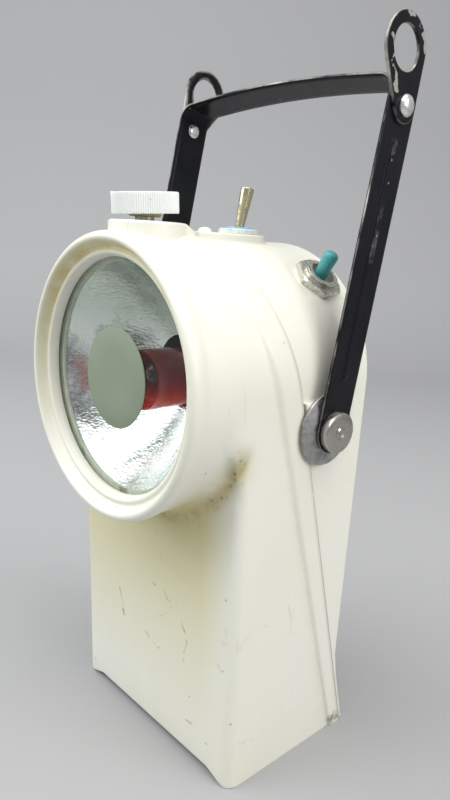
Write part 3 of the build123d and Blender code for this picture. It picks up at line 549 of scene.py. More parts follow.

# Painted shade and grime in the hollow under the barrel; grime high in the lip, along the band and in the
# seam
cove_cloud = use(tree, blotches, Place=place, Scale=80.0, Cover=0.58, Softness=0.16)
# Painted shade and brown grime in the hollow under the barrel
cove_shade_and_grime = times(tree, mark(tree, "cove"), value_step(tree, "ADD", cove_cloud, 0.25, clamp=True))
colour = stain(tree, cove_shade_and_grime, 0.9, colour, (0.43, 0.35, 0.12, 1))
grime_dots = use(tree, specks, Place=place, Scale=420.0, Share=0.4, Size=0.42)
grime_dots = times(tree, times(tree, grime_dots, mark(tree, "cove")), cove_cloud)
colour = stain(tree, grime_dots, 0.75, colour, (0.20, 0.15, 0.06, 1))
rim_cloud = use(tree, blotches, Place=place, Scale=75.0, Cover=0.60, Softness=0.2)
above = ramp(tree, height, 0.150, 0.215)
rim_dirt = times(tree, times(tree, mark(tree, "rim"), rim_cloud), above)
colour = stain(tree, rim_dirt, 0.85, colour, (0.54, 0.46, 0.13, 1))
line_cloud = use(tree, blotches, Place=place, Scale=120.0, Cover=0.55, Softness=0.12)
low_down = ramp(tree, height, 0.205, 0.150)
band_dirt = times(tree, times(tree, mark(tree, "band"), line_cloud), low_down)
colour = stain(tree, band_dirt, 0.18, colour, (0.50, 0.42, 0.24, 1))
seam_dots = use(tree, blotches, Place=place, Scale=330.0, Cover=0.62, Softness=0.06)
seam_dots = value_step(tree, "ADD", times(tree, seam_dots, 0.6), 0.4, clamp=True)
seam_dirt = times(tree, times(tree, mark(tree, "seam"), seam_dots), ramp(tree, height, 0.236, 0.190))
colour = stain(tree, seam_dirt, 0.9, colour, (0.13, 0.10, 0.06, 1))

# Fine scratches, dots and scuffs over all of it
fine = use(tree, scratches, Place=place, Scale=55.0, Width=0.012, Share=0.40)
colour = stain(tree, fine, 0.35, colour, (0.42, 0.36, 0.24, 1))
dots = use(tree, specks, Place=place, Scale=230.0, Share=0.022, Size=0.16)
colour = stain(tree, dots, 0.55, colour, (0.14, 0.10, 0.05, 1))
for start, end, width, strength in SCUFFS:
    line = use(tree, scuff, Place=place, From=start, To=end, Width=width, Ragged=0.6)
    colour = stain(tree, line, strength, colour, (0.20, 0.17, 0.07, 1))
tree.links.new(colour, shader.inputs["Base Color"])
rough = ramp(tree, cloud, -1.0, 2.2)
tree.links.new(times(tree, rough, 0.85), shader.inputs["Roughness"])
peel = noise_of(tree, place, 260.0, 3.0)
relief = value_step(tree, "SUBTRACT", times(tree, peel, 0.35), fine)
emboss(tree, shader, relief, 0.12, 0.0004)
shell.data.materials.append(cream)

# Rear cover: wedge of the same plastic behind the slanted seam, with a flat foot plate and a shallow
# flat at the shoulder toggle. Four screws in deep holes hold it on.
REAR_Y = 103.9
REAR_ROUND = 2.5
PLATE_HIGH, PLATE_DEEP, PLATE_ROUND = 38.0, 3.2, 0.8
SIDE_Y, SIDE_TURN = 86.0, radians(41.5)
SIDE_FLAT, SIDE_FLAT_HALF = 58.3, 14.4
HOLE_R, HOLE_DEEP = 3.9, 40
UPPER_SCREW_Z = 194.0
SCREW_SEATS = ((44.0, 42.0, REAR_Y - 2.6), (46.0, UPPER_SCREW_Z, seam(UPPER_SCREW_Z) + 7.0))
spoke = np.array([sin(SIDE_TURN), 0.0, cos(SIDE_TURN)])


def rear(z):
    """Depth of the back: upright, then the slanted foot plate.

    Where they meet it is a soft maximum of the two, half of a + b + sqrt((a - b)^2 + 1).
    """
    plate = seam(z) + PLATE_DEEP
    return (REAR_Y + plate + np.sqrt((REAR_Y - plate) ** 2 + 1.0)) / 2


# Rows run from the seam back along the side, round the back edge and in to the middle of the back,
# and return along the inner wall
cover_z = AXIS_Z - reach * np.cos(turns)
rear_round = np.where(cover_z > PLATE_HIGH, REAR_ROUND, PLATE_ROUND)
cover_radius, cover_depth = [inner_reach, reach - 0.5, reach - 0.12, reach], []
for radius, behind in zip(cover_radius, (0.02, 0.02, 0.12, 0.5)):
    cover_depth.append(seam(AXIS_Z - radius * np.cos(turns)) + behind)
side_start = cover_depth[-1]
side_stop = rear(cover_z) - rear_round
for step in np.linspace(0, 1, 42)[1:]:
    cover_radius.append(reach)
    cover_depth.append(side_start + (side_stop - side_start) * step)
for quarter in np.linspace(0, pi / 2, 8)[1:]:
    radius = reach - rear_round * (1 - cos(quarter)) / np.maximum(lean_out, 0.3)
    cover_radius.append(radius)
    cover_depth.append(rear(AXIS_Z - radius * np.cos(turns)) - rear_round * (1 - sin(quarter)))
back_edge = cover_radius[-1]
for step in np.linspace(0, 1, 30)[1:]:
    radius = back_edge * (1 - step)
    cover_radius.append(radius)
    cover_depth.append(rear(AXIS_Z - radius * np.cos(turns)))
cover_points = around(np.array(cover_radius), np.array(cover_depth))
inside = []
for share in (0.0, 0.35, 0.65, 0.85, 0.95, 1.0):
    radius = (inner_reach - 0.02) * share
    z = AXIS_Z - radius * np.cos(turns)
    inside.append(around(radius, np.maximum(rear(z) - WALL, seam(z) + 0.6)))
cover_points = np.concatenate([cover_points, np.stack(inside)])

# Past the flat of the shoulder toggle the arch is cut level, square to the spoke
flat = smooth(SIDE_FLAT_HALF - np.abs(cover_points[..., 1] - SIDE_Y))
beyond = np.clip((cover_points - [0, 0, AXIS_Z]) @ spoke - SIDE_FLAT, 0, None) * flat
cover_points = cover_points - beyond[..., None] * spoke
height, depth = cover_points[..., 2], cover_points[..., 1]
cover_seam = np.exp(-((depth - seam(height)) / 0.5) ** 2)
cover = grid_mesh("rear_cover_skin", cover_points, loop_rows=True, loop_columns=True, crease=38,
                  seam=cover_seam, cove=cover_seam * 0, rim=cover_seam * 0, band=cover_seam * 0)


def lathe(name, profile, base, way, count, crease=40.0, **marks):
    """Turned piece: a profile of (radius, height), in mm, swept round an axis from a base point.

    Each point is base + radius * (cos * side + sin * other) + height * way.
    """
    profile = np.array(profile, float)
    way = np.array(way, float) / np.linalg.norm(way)
    side = np.cross(way, [0.0, 0.0, 1.0] if abs(way[2]) < 0.9 else [0.0, 1.0, 0.0])
    side = side / np.linalg.norm(side)
    other = np.cross(way, side)
    angle = np.linspace(0, 2 * pi, count, endpoint=False)
    ring = np.cos(angle)[:, None] * side + np.sin(angle)[:, None] * other
    points = np.array(base) + profile[:, :1, None] * ring[None] + profile[:, 1:, None] * way
    marks = {key: np.asarray(value)[:, None] + 0 * angle for key, value in marks.items()}
    return grid_mesh(name, points, loop_columns=True, crease=crease, **marks)


def cut(piece, cutters):
    """Takes the cutters' volumes out of the piece and leaves it a plain mesh."""
    for cutter in cutters:
        step = piece.modifiers.new("cut", "BOOLEAN")
        step.object = cutter
    bpy.context.view_layer.update()
    done = bpy.data.meshes.new_from_object(piece.evaluated_get(bpy.context.evaluated_depsgraph_get()))
    piece.modifiers.clear()
    piece.data = done
    for cutter in cutters:
        bpy.data.objects.remove(cutter)


hole_profile = [(0, 0), (HOLE_R, 0), (HOLE_R, HOLE_DEEP), (0, HOLE_DEEP)]
screw_holes = []
for side in (-1, 1):
    for x, z, seat in SCREW_SEATS:
        screw_holes.append(lathe("hole", hole_profile, (side * x, seat, z), (0, 1, 0), 32))
cut(cover, screw_holes)
cover.data.materials.append(cream)
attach(cover, "casing")
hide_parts("rear_cover")

# Plateau of the cover under the top toggle: it is moulded in one with the cream plastic and runs
# from the seam to a round end about the toggle.
PAD_TOP, PAD_HALF, PAD_START = 241.8, 12.0, 39.6
TOGGLE_Y = 73.6


def raised(name, outline, spine, top, ground, edge, flare, to_space):
    """Makes a low block that grows out of a surface, with a rounded top edge and a hollow foot.

    outline is its closed plan and spine the point of the top that each outline point runs to.
    Rows go from spine to edge, round over by edge * (1 - cos), fall, and flare out by
    flare * (1 - cos) where they meet the ground. to_space turns (u, v, height) into x, y, z.
    """
    ahead = np.roll(outline, -1, 0) - np.roll(outline, 1, 0)
    outward = np.stack([ahead[:, 1], -ahead[:, 0]], -1)
    outward = outward / np.linalg.norm(outward, axis=1, keepdims=True)
    middle = outline.mean(0)
    if ((outline - middle) * outward).sum() < 0:
        outward = -outward
    plan, level = [], []
    shoulder = outline - outward * edge
    for step in np.linspace(0, 1, 7):
        flat_plan = spine + (shoulder - spine) * step
        plan.append(flat_plan)
        level.append(top(flat_plan))
    for quarter in np.linspace(0, pi / 2, 6)[1:]:
        plan.append(shoulder + outward * edge * sin(quarter))
        level.append(top(outline) - edge * (1 - cos(quarter)))
    for quarter in np.linspace(0, pi / 2, 6):
        low = outline + outward * flare * (1 - cos(quarter))
        plan.append(low)
        level.append(np.minimum(ground(low) + flare * (1 - sin(quarter)), top(outline) - edge))
    low = outline + outward * (flare + 0.4)
    plan.append(low)
    level.append(ground(low) - 0.5)
    plan.append(spine + (shoulder - spine) * 0.5)
    level.append(ground(plan[-1]) - 2.0)
    plan.append(spine)
    level.append(ground(spine) - 2.0)
    plan, level = np.array(plan), np.array(level)
    points = to_space(plan[..., 0], plan[..., 1], level)
    zero = 0 * level
    foot = np.exp(-((level - ground(plan)) / 0.8) ** 2)
    piece = grid_mesh(name, points, loop_columns=True, crease=50,
                      seam=zero, band=foot * 0.7, cove=zero, rim=zero)
    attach(piece, "casing")
    piece.data.materials.append(cream)


def arch_top(plan):
    """Height of the arch over a plan of x and y: axis height + sqrt(radius^2 - x^2)."""
    return AXIS_Z + np.sqrt(np.maximum(BARREL_R ** 2 - plan[..., 0] ** 2, 0))


def upright(u, v, level):
    """Plan on x and y, level on z."""
    return np.stack([u, v, level], -1)


bend = np.linspace(0, pi, 40)
pad_run = np.linspace(PAD_START, TOGGLE_Y, 30)[:-1]
pad_front = np.linspace(-PAD_HALF, PAD_HALF, 14)[1:-1]
plateau = np.concatenate([
    np.stack([np.full_like(pad_run, PAD_HALF), pad_run], -1),
    np.stack([PAD_HALF * np.cos(bend), TOGGLE_Y + PAD_HALF * np.sin(bend)], -1),
    np.stack([np.full_like(pad_run, -PAD_HALF), pad_run[::-1]], -1),
    np.stack([pad_front, np.full_like(pad_front, PAD_START)], -1),
])
plateau_spine = np.stack([0 * plateau[:, 0], np.clip(plateau[:, 1], PAD_START + 6, TOGGLE_Y)], -1)
raised("top_plateau", plateau, plateau_spine, lambda plan: PAD_TOP + 0 * plan[..., 0], arch_top,
       edge=0.9, flare=1.2, to_space=upright)

# Knob boss of the front shell: a round seat for the knob, moulded on the arch, with a ramp that
# falls back to the plateau at the seam.
BOSS_Y, BOSS_R, BOSS_TOP = 21.4, 15.9, 244.5
RAMP_HALF, RAMP_END = 10.5, 17.6
angle = np.linspace(0, 2 * pi, 160, endpoint=False)
ramp_reach = np.minimum(RAMP_HALF / np.maximum(np.abs(np.cos(angle)), 1e-3),
                        RAMP_END / np.maximum(np.sin(angle), 1e-3))
boss_reach = np.maximum(BOSS_R, np.where(np.sin(angle) > 0, ramp_reach, 0))
boss = np.stack([boss_reach * np.cos(angle), BOSS_Y + boss_reach * np.sin(angle)], -1)


def boss_top(plan):
    """Flat, then falling to the plateau's height at the seam."""
    return BOSS_TOP - (BOSS_TOP - PAD_TOP) * smooth((plan[..., 1] - 33.5) / 6.0)


raised("knob_boss", boss, boss * 0 + [0, BOSS_Y], boss_top, arch_top, edge=1.2, flare=1.6, to_space=upright)

# Pivot blocks: a low block with a flat face is moulded on each side of the cover, just behind the
# seam, and carries a pin of the handle.
PIVOT_Y, PIVOT_Z = 72.7, 163.4
BLOCK_FACE, BLOCK_LOW, BLOCK_HIGH, BLOCK_BACK, BLOCK_GAP = 61.5, 149.5, 175.6, 86.5, 0.6
BLOCK_MIDDLE = (73.0, 162.5)
block_corners = np.array([
    (seam(BLOCK_LOW) + BLOCK_GAP, BLOCK_LOW), (BLOCK_BACK, BLOCK_LOW),
    (BLOCK_BACK, BLOCK_HIGH), (seam(BLOCK_HIGH) + BLOCK_GAP, BLOCK_HIGH)])
share = np.linspace(0, 1, 16)[:-1, None]
block = np.concatenate([
    start * (1 - share) + end * share for start, end in zip(block_corners, np.roll(block_corners, -1, 0))])


def side_wall(plan):
    """Half width of the casing over a plan of depth and height: it grows evenly up to the arch."""
    return BASE_HALF + (BARREL_R - BASE_HALF) * plan[..., 1] / AXIS_Z


for side, name in ((1, "pivot_block_right"), (-1, "pivot_block_left")):
    raised(name, block, block * 0 + BLOCK_MIDDLE, lambda plan: BLOCK_FACE + 0 * plan[..., 0], side_wall,
           edge=0.8, flare=0.8, to_space=lambda u, v, level, side=side: np.stack([side * level, u, v], -1))

# Reflector: a pressed aluminium bowl, silvered in front and dimpled by the press so that it
# shows a fine horizontal ripple. It is clamped by its flange behind the glass.
STACK_R = 55.6
BOWL_MOUTH_R, BOWL_NECK_R, BOWL_T = 49.3, 16.5, 0.9
BOWL_BOTTOM, BOWL_SPREAD = 46.94, 69.17
FLANGE_R, FLANGE_FRONT, FLANGE_BACK = 52.0, 11.8, 12.7
bowl_radius = np.linspace(BOWL_MOUTH_R, BOWL_NECK_R, 60)
bowl_depth = BOWL_BOTTOM - bowl_radius ** 2 / BOWL_SPREAD
slope = np.stack([np.ones_like(bowl_radius), 2 * bowl_radius / BOWL_SPREAD], -1)
slope = BOWL_T * slope / np.linalg.norm(slope, axis=1, keepdims=True)
bowl_front = np.stack([bowl_radius, bowl_depth], -1)
bowl_back = np.stack([bowl_radius + slope[:, 1], bowl_depth + slope[:, 0]], -1)
bowl = np.concatenate([
    [(STACK_R, FLANGE_FRONT + 0.02), (FLANGE_R, FLANGE_FRONT)], bowl_front,
    [(BOWL_NECK_R, 44.2), (BOWL_NECK_R + BOWL_T, 44.4)], bowl_back[::-1],
    [(FLANGE_R, FLANGE_BACK + 0.02), (STACK_R, FLANGE_BACK), (STACK_R, FLANGE_FRONT + 0.02)]])
reflector = lathe("reflector_skin", bowl, (0, 0, AXIS_Z), (0, 1, 0), 220, crease=50)
silver, tree, shader, place = new_material("rippled silver", Metallic=1.0, Roughness=0.16)
flattened = add(tree, "ShaderNodeMapping", {"Vector": place, "Scale": (0.45, 0.6, 1.35)}).outputs[0]
dimples = add(tree, "ShaderNodeTexVoronoi", {"Vector": flattened, "Scale": 1150.0}, feature="SMOOTH_F1")
ripple = noise_of(tree, flattened, 620.0, 2.5)
swell = noise_of(tree, flattened, 70.0, 2.0)
relief = value_step(tree, "ADD", times(tree, dimples.outputs["Distance"], 0.45), ripple)
relief = value_step(tree, "ADD", relief, times(tree, swell, 1.6))
emboss(tree, shader, relief, 0.9, 0.00024)
tarnish = use(tree, blotches, Place=place, Scale=26.0, Cover=0.45, Softness=0.16)
colour = blend_colours(tree, tarnish, (0.86, 0.89, 0.88, 1), (0.70, 0.76, 0.72, 1))

# Painted reflections of dark surroundings, drawn as dark streaks in the silver: from, to, half width,
# strength; in metres
PAINTED_DARK_REFLECTIONS = [
    ((-0.0081, -0.0387, 0.1381), (0.0018, -0.0197, 0.1576), 0.0050, 0.80),
    ((-0.0436, -0.0461, 0.1594), (-0.0315, -0.0401, 0.1496), 0.0095, 1.00),
    ((-0.0491, -0.0474, 0.1829), (-0.0438, -0.0407, 0.1700), 0.0110, 1.00),
    ((-0.0382, -0.0356, 0.1920), (-0.0205, -0.0206, 0.1923), 0.0050, 0.75),
    ((-0.0122, -0.0466, 0.2271), (-0.0100, -0.0279, 0.2111), 0.0060, 0.35),
]
grain = noise_of(tree, flattened, 900.0, 2.0)
grain = ramp(tree, grain, 0.10, 0.60)
for start, end, width, strength in PAINTED_DARK_REFLECTIONS:
    dark_reflection = use(tree, scuff, Place=place, From=start, To=end, Width=width, Ragged=0.25)
    dark_reflection = times(tree, dark_reflection, grain)
    colour = stain(tree, dark_reflection, strength, colour, (0.16, 0.18, 0.17, 1))
dull = use(tree, blotches, Place=place, Scale=90.0, Cover=0.4, Softness=0.2)
tree.links.new(ramp(tree, dull, -1.1, 4.6), shader.inputs["Roughness"])
# Painted pink reflection of the red tube on the left of the bowl
tube_reflection = use(tree, scuff, Place=place, From=(-0.0452, -0.0421, 0.1769), To=(-0.0423, -0.0404, 0.1680),
            Width=0.006, Ragged=0.2)
colour = stain(tree, tube_reflection, 0.7, colour, (0.55, 0.24, 0.22, 1))
# The upper half is painted darker grey-green: a painted reflection.
upper_reflection_share = ramp(tree, add(tree, "ShaderNodeSeparateXYZ", {"Vector": place}).outputs["Z"], 0.178, 0.205)
colour = blend_colours(tree, times(tree, upper_reflection_share, 0.7), colour, (0.62, 0.70, 0.62, 1), "MULTIPLY")
tree.links.new(colour, shader.inputs["Base Color"])
reflector.data.materials.append(silver)
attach(reflector, "casing")
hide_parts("reflector")

# Lens glass: flat clear disc, 3 mm thick, held behind the lip by the gasket and a snap ring.
# It mirrors by its angle to the eye and lets the rest of the light through, with a few wipes.


def dress(material, *names):
    """Puts the material on every slot of the frame's own pieces of these names."""
    for name in names:
        for held in nodes[name].material_slots:
            held.material = material


clear, tree, shader, place = new_material(
    "clear glass", Base_Color=(0.93, 0.97, 0.95, 1), Metallic=1.0, Roughness=0.02)
outer_side = value_step(tree, "SUBTRACT", 1.0, add(tree, "ShaderNodeNewGeometry").outputs["Backfacing"])
mirrored = times(tree, add(tree, "ShaderNodeFresnel", {"IOR": 1.45}).outputs[0], outer_side)
wiped = use(tree, blotches, Place=place, Scale=28.0, Cover=0.35, Softness=0.2)
dust = use(tree, specks, Place=place, Scale=420.0, Share=0.03, Size=0.18)
shown = value_step(tree, "ADD", times(tree, mirrored, 0.55), times(tree, wiped, 0.015))
shown = value_step(tree, "ADD", shown, times(tree, dust, 0.2), clamp=True)
tree.links.new(shown, shader.inputs["Alpha"])
tree.links.new(ramp(tree, wiped, -0.1, 8.0), shader.inputs["Roughness"])
dress(clear, "lens_glass")

# Gasket: grey-green rubber ring between the glass and the bowl's flange, pressed there by a snap
# ring of sprung wire. Only the rubber's inner edge shows through the glass.
rubber, tree, shader, place = new_material("grey green rubber", Roughness=0.7)
bloom = use(tree, blotches, Place=place, Scale=160.0, Cover=0.45, Softness=0.15)
tint = blend_colours(tree, bloom, (0.50, 0.56, 0.44, 1), (0.60, 0.66, 0.54, 1))
tree.links.new(tint, shader.inputs["Base Color"])
grain = noise_of(tree, place, 900.0, 3.0)
emboss(tree, shader, grain, 0.2, 0.0002)
dress(rubber, "lens_gasket")

# Glare disc: thin matt grey-green disc stuck on the middle of the glass, so that the bulb's
# bare light doesn't leave the lamp.
DISC_R, DISC_FRONT, DISC_BACK = 21.5, 7.1, 7.6
disc_profile = [(0, DISC_BACK), (21.2, DISC_BACK), (DISC_R, 7.5), (DISC_R, 7.2), (21.35, DISC_FRONT),
                (12, DISC_FRONT), (0, DISC_FRONT)]
disc = lathe("glare_disc_skin", disc_profile, (0, 0, AXIS_Z), (0, 1, 0), 200, crease=45)
matt, tree, shader, place = new_material("matt grey green", Roughness=0.62)
faded = use(tree, blotches, Place=place, Scale=60.0, Cover=0.5, Softness=0.3)
tint = blend_colours(tree, faded, (0.215, 0.258, 0.180, 1), (0.240, 0.285, 0.205, 1))
rubbed = use(tree, scratches, Place=place, Scale=90.0, Width=0.012, Share=0.35)
tint = stain(tree, rubbed, 0.25, tint, (0.36, 0.40, 0.34, 1))
dots = use(tree, specks, Place=place, Scale=380.0, Share=0.05, Size=0.2)
tint = stain(tree, dots, 0.3, tint, (0.12, 0.14, 0.11, 1))
tree.links.new(tint, shader.inputs["Base Color"])
grain = noise_of(tree, place, 1400.0, 2.0)
emboss(tree, shader, grain, 0.12, 0.0001)
disc.data.materials.append(matt)
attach(disc, "casing")
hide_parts("glare_disc")

# Red filter: clear red plastic tube on a carrier that the knob slides along the bulb. Its lower half is
# painted brighter red with patches of orange glow: painted light that the bowl throws up.
TUBE_Z, TUBE_R, TUBE_BORE_R = 177.7, 13.3, 12.1
TUBE_FRONT, TUBE_BACK, TUBE_ROUND = 20.5, 46.5, 0.2
wall_at = (21.0, 27.0, 33.0, 40.0, 46.2)
tube_profile = [(TUBE_R, depth) for depth in wall_at]
tube_profile += [(TUBE_R - TUBE_ROUND, TUBE_BACK), (TUBE_BORE_R + TUBE_ROUND, TUBE_BACK)]
tube_profile += [(TUBE_BORE_R, depth) for depth in reversed(wall_at)]
tube_profile += [(TUBE_BORE_R + TUBE_ROUND, TUBE_FRONT), (TUBE_R - TUBE_ROUND, TUBE_FRONT)]
tube_profile += [(TUBE_R, wall_at[0])]
tube = lathe("red_filter_skin", tube_profile, (0, 0, TUBE_Z), (0, 1, 0), 160, crease=50)
red, tree, shader, place = new_material(
    "clear red plastic", Roughness=0.08, IOR=1.47, Transmission_Weight=0.45)
height = add(tree, "ShaderNodeSeparateXYZ", {"Vector": place}).outputs["Z"]
# Painted light: dark red above, bright red in the lower half
low = ramp(tree, height, 0.182, 0.165)
tint = blend_colours(tree, low, (0.22, 0.000, 0.004, 1), (0.85, 0.008, 0.006, 1))
flow = noise_of(tree, place, 120.0, 3.0)
# Painted orange glow in patches low down
bright = times(tree, ramp(tree, height, 0.175, 0.166), ramp(tree, flow, 0.42, 0.60))
tint = blend_colours(tree, bright, tint, (1.0, 0.10, 0.02, 1))
dusty = use(tree, specks, Place=place, Scale=700.0, Share=0.08, Size=0.2)
tint = stain(tree, dusty, 0.2, tint, (0.55, 0.15, 0.12, 1))
tree.links.new(tint, shader.inputs["Base Color"])
tree.links.new(ramp(tree, flow, -0.2, 8.0), shader.inputs["Roughness"])
tube.data.materials.append(red)
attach(tube, "filter")
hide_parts("red_filter")

# Selector knob: white moulded knob with fine flutes and a rough edge with two burrs, pressed
# a little askew on its yellowed hub; the red filter follows its turn.
KNOB_Y, KNOB_Z = 20.2, 251.7
KNOB_R, KNOB_HALF = 13.8, 4.2
FLUTES, FLUTE_DEEP = 96, 0.28
lean = np.array([-0.004, -0.072, 1.0])
lean = lean / np.linalg.norm(lean)
knob_side = np.cross(lean, [0.0, 1.0, 0.0])
knob_side = knob_side / np.linalg.norm(knob_side)
knob_other = np.cross(lean, knob_side)

# Radius, height and share of the flutes' depth
knob_profile = np.array([
    (0.0, -KNOB_HALF, 0), (5.0, -KNOB_HALF, 0), (9.0, -KNOB_HALF, 0), (12.4, -KNOB_HALF, 0),
    (13.4, -4.15, 0.3), (13.7, -4.0, 0.8), (KNOB_R, -3.6, 1), (KNOB_R, -2.0, 1), (KNOB_R, 0.0, 1),
    (KNOB_R, 2.0, 1), (KNOB_R, 3.7, 1), (13.7, 4.05, 0.8), (13.4, KNOB_HALF, 0.3), (12.4, KNOB_HALF, 0),
    (9.0, KNOB_HALF, 0), (4.0, KNOB_HALF, 0), (0.0, KNOB_HALF, 0)])
turn = np.linspace(0, 2 * pi, 6 * FLUTES, endpoint=False)
flute = knob_profile[:, 2:] * FLUTE_DEEP * (0.5 - 0.5 * np.cos(FLUTES * turn))
radius = knob_profile[:, :1] - flute
level = knob_profile[:, 1:2] + 0 * turn
towards = np.cos(turn)[:, None] * knob_side + np.sin(turn)[:, None] * knob_other

# One burr stands out at the left of the top edge and one rises a little further round
leftward = towards @ np.array([-0.68, -0.73, 0.0])
at_left = np.exp(-((1 - leftward) / 0.006))
second = np.roll(at_left, 20)
rim_row = np.exp(-((knob_profile[:, 1:2] - 4.0) / 0.3) ** 2) * (knob_profile[:, :1] > 12.9)
rough_edge = 0.10 * np.sin(turn * 37) * np.sin(turn * 11 + 1) + 0.06 * np.sin(turn * 83)
foot_row = (knob_profile[:, 1:2] < -3.5) * (knob_profile[:, :1] > 13.0)
level = level + rim_row * (second * 0.9 + 0.7 * rough_edge) + foot_row * rough_edge * 1.2
radius = radius + rim_row * at_left * 0.8
points = np.array([0, KNOB_Y, KNOB_Z]) + radius[..., None] * towards[None] + level[..., None] * lean
knob = grid_mesh("selector_knob_skin", points, loop_columns=True, crease=32, hub=0 * level,
                 groove=flute / FLUTE_DEEP)
hub_profile = [(0, 247.0), (6.9, 247.0), (6.7, 247.5), (6.6, 246.6), (6.2, 246.3), (4.6, 246.3), (0, 246.3)]
hub = lathe("selector_knob_hub", hub_profile, (0, KNOB_Y, 0), (0, 0, 1), 96,
            hub=np.ones(len(hub_profile)), groove=np.zeros(len(hub_profile)))
white, tree, shader, place = new_material("white knob plastic", Roughness=0.38)
cloud = use(tree, blotches, Place=place, Scale=140.0, Cover=0.4, Softness=0.25)
tint = blend_colours(tree, cloud, (0.86, 0.88, 0.86, 1), (0.80, 0.82, 0.80, 1))
# The flutes are painted a darker bluish grey: painted shade in them.
tint = stain(tree, mark(tree, "groove"), 0.2, tint, (0.66, 0.72, 0.72, 1))
tint = blend_colours(tree, mark(tree, "hub"), tint, (0.55, 0.50, 0.28, 1))
dots = use(tree, specks, Place=place, Scale=420.0, Share=0.05, Size=0.22)
tint = stain(tree, dots, 0.55, tint, (0.45, 0.36, 0.20, 1))
tree.links.new(tint, shader.inputs["Base Color"])
grain = noise_of(tree, place, 800.0, 3.0)
emboss(tree, shader, grain, 0.15, 0.0002)
for piece in (knob, hub):
    piece.data.materials.append(white)
    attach(piece, "selector")
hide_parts("selector_knob")

# Worn metals: nickel that has gone brassy, dull zinc, and bare aluminium share one look made
# of streaks, pits and grime in different colours.
worn, source, mask = effect("worn metal", Scale=300.0, Cover=0.4)
cloudy = use(worn, blotches, Place=source["Place"], Scale=source["Scale"], Cover=source["Cover"],
             Softness=0.12)
pits = use(worn, specks, Place=source["Place"], Scale=900.0, Share=0.12, Size=0.3)
worn.links.new(value_step(worn, "ADD", cloudy, pits, clamp=True), mask)


def worn_metal(name, bright, dirty, scale, cover, roughness, streaks=1.0):
    """Metal of a bright and a dirty colour; the dirt is rougher and less metallic."""
    material, tree, shader, place = new_material(name, Metallic=1.0)
    dirt = use(tree, worn, Place=place, Scale=scale, Cover=cover)
    tree.links.new(blend_colours(tree, dirt, bright, dirty), shader.inputs["Base Color"])
    tree.links.new(ramp(tree, dirt, -roughness, 1.6), shader.inputs["Roughness"])
    tree.links.new(ramp(tree, dirt, 2.2, -0.1), shader.inputs["Metallic"])
    drawn = add(tree, "ShaderNodeMapping", {"Vector": place, "Scale": (1.0, 1.0, streaks)}).outputs[0]
    brushed = noise_of(tree, drawn, 1500.0, 3.0)
    relief = value_step(tree, "SUBTRACT", brushed, times(tree, dirt, 0.6))
    emboss(tree, shader, relief, 0.25, 0.0001)
    return material


# Top toggle: nickelled bat of a toggle switch, gone brassy, on a round nut daubed with pale
# paint and a crust of light blue paint round the bat's foot. The bat tips front to back.
nickel = worn_metal("brassy nickel", (0.56, 0.51, 0.35, 1), (0.27, 0.23, 0.12, 1), 260.0, 0.42, 0.35, 0.12)
TOP_LEAN = radians(11.5)
bat_way = np.array([0, sin(TOP_LEAN), cos(TOP_LEAN)])
bat_profile = [(0, -3), (2.0, -3), (2.1, 5), (2.5, 11), (2.9, 17), (3.1, 20.4), (3.15, 21.0),
               (2.95, 21.35), (2.5, 21.4), (0, 21.4)]
bat_foot = (0, 73.2, 241.5)
bat = lathe("top_bat_skin", bat_profile, bat_foot, bat_way, 64, crease=30)
bat.data.materials.append(nickel)
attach(bat, "top_lever")
NUT_R, NUT_BORE_R, NUT_TOP, BUSH_TOP = 9.4, 5.95, 244.2, 244.8
nut_profile = [(NUT_BORE_R, PAD_TOP), (9.1, PAD_TOP), (NUT_R, 242.1), (NUT_R, 243.0), (NUT_R, 243.8),
               (9.1, 244.1), (8.5, NUT_TOP), (7.0, NUT_TOP), (NUT_BORE_R, NUT_TOP), (NUT_BORE_R, PAD_TOP)]
round_nut = lathe("top_nut_skin", nut_profile, (0, TOGGLE_Y, 0), (0, 0, 1), 96, crease=35,
                  paint=[0] * len(nut_profile))

# The crust is a thin ring over nut and bush: its height is a smooth step of five waves that run
# round it at different rates, and of a bias to its inner and outer edge.
turn = np.linspace(0, 2 * pi, 220, endpoint=False)
crust_radius = np.linspace(3.3, 9.1, 26)[:, None]
lumps = (np.sin(5 * turn + crust_radius * 1.3) + 0.8 * np.sin(11 * turn + 2 - crust_radius)
         + 0.7 * np.sin(23 * turn + crust_radius * 2.1) + 0.5 * np.sin(47 * turn - 3 * crust_radius)
         + 0.4 * np.sin(83 * turn + 5 * crust_radius))
edge_bias = np.exp(-((crust_radius - 8.4) / 0.7) ** 2) + np.exp(-((crust_radius - 3.6) / 1.3) ** 2) * 1.4
stands = 0.34 * smooth(0.35 * lumps + 0.75 * edge_bias - 0.1) - 0.1
level = np.where(crust_radius < 6.0, BUSH_TOP, NUT_TOP) + 0.02 + stands
level = level - 0.5 * smooth((crust_radius - 8.9) / 0.3)
out = np.stack([np.cos(turn), np.sin(turn), 0 * turn], -1)
top_rows = np.array([0, TOGGLE_Y, 0]) + crust_radius[..., None] * out
top_rows = top_rows + level[..., None] * np.array([0, 0, 1.0])
under_rows = top_rows[::-1] - [0, 0, 0.6]
crust_points = np.concatenate([top_rows, under_rows])
crust = grid_mesh("paint_crust", crust_points, loop_rows=True, loop_columns=True, crease=60,
                  paint=np.ones(crust_points.shape[:2]))
daubed, tree, shader, place = new_material("daubed nut", Roughness=0.5)
patchy = use(tree, worn, Place=place, Scale=330.0, Cover=0.45)
tint = blend_colours(tree, patchy, (0.72, 0.74, 0.70, 1), (0.52, 0.54, 0.50, 1))
blue_cloud = use(tree, blotches, Place=place, Scale=500.0, Cover=0.5, Softness=0.15)
blue = blend_colours(tree, blue_cloud, (0.05, 0.42, 0.70, 1), (0.25, 0.62, 0.80, 1))
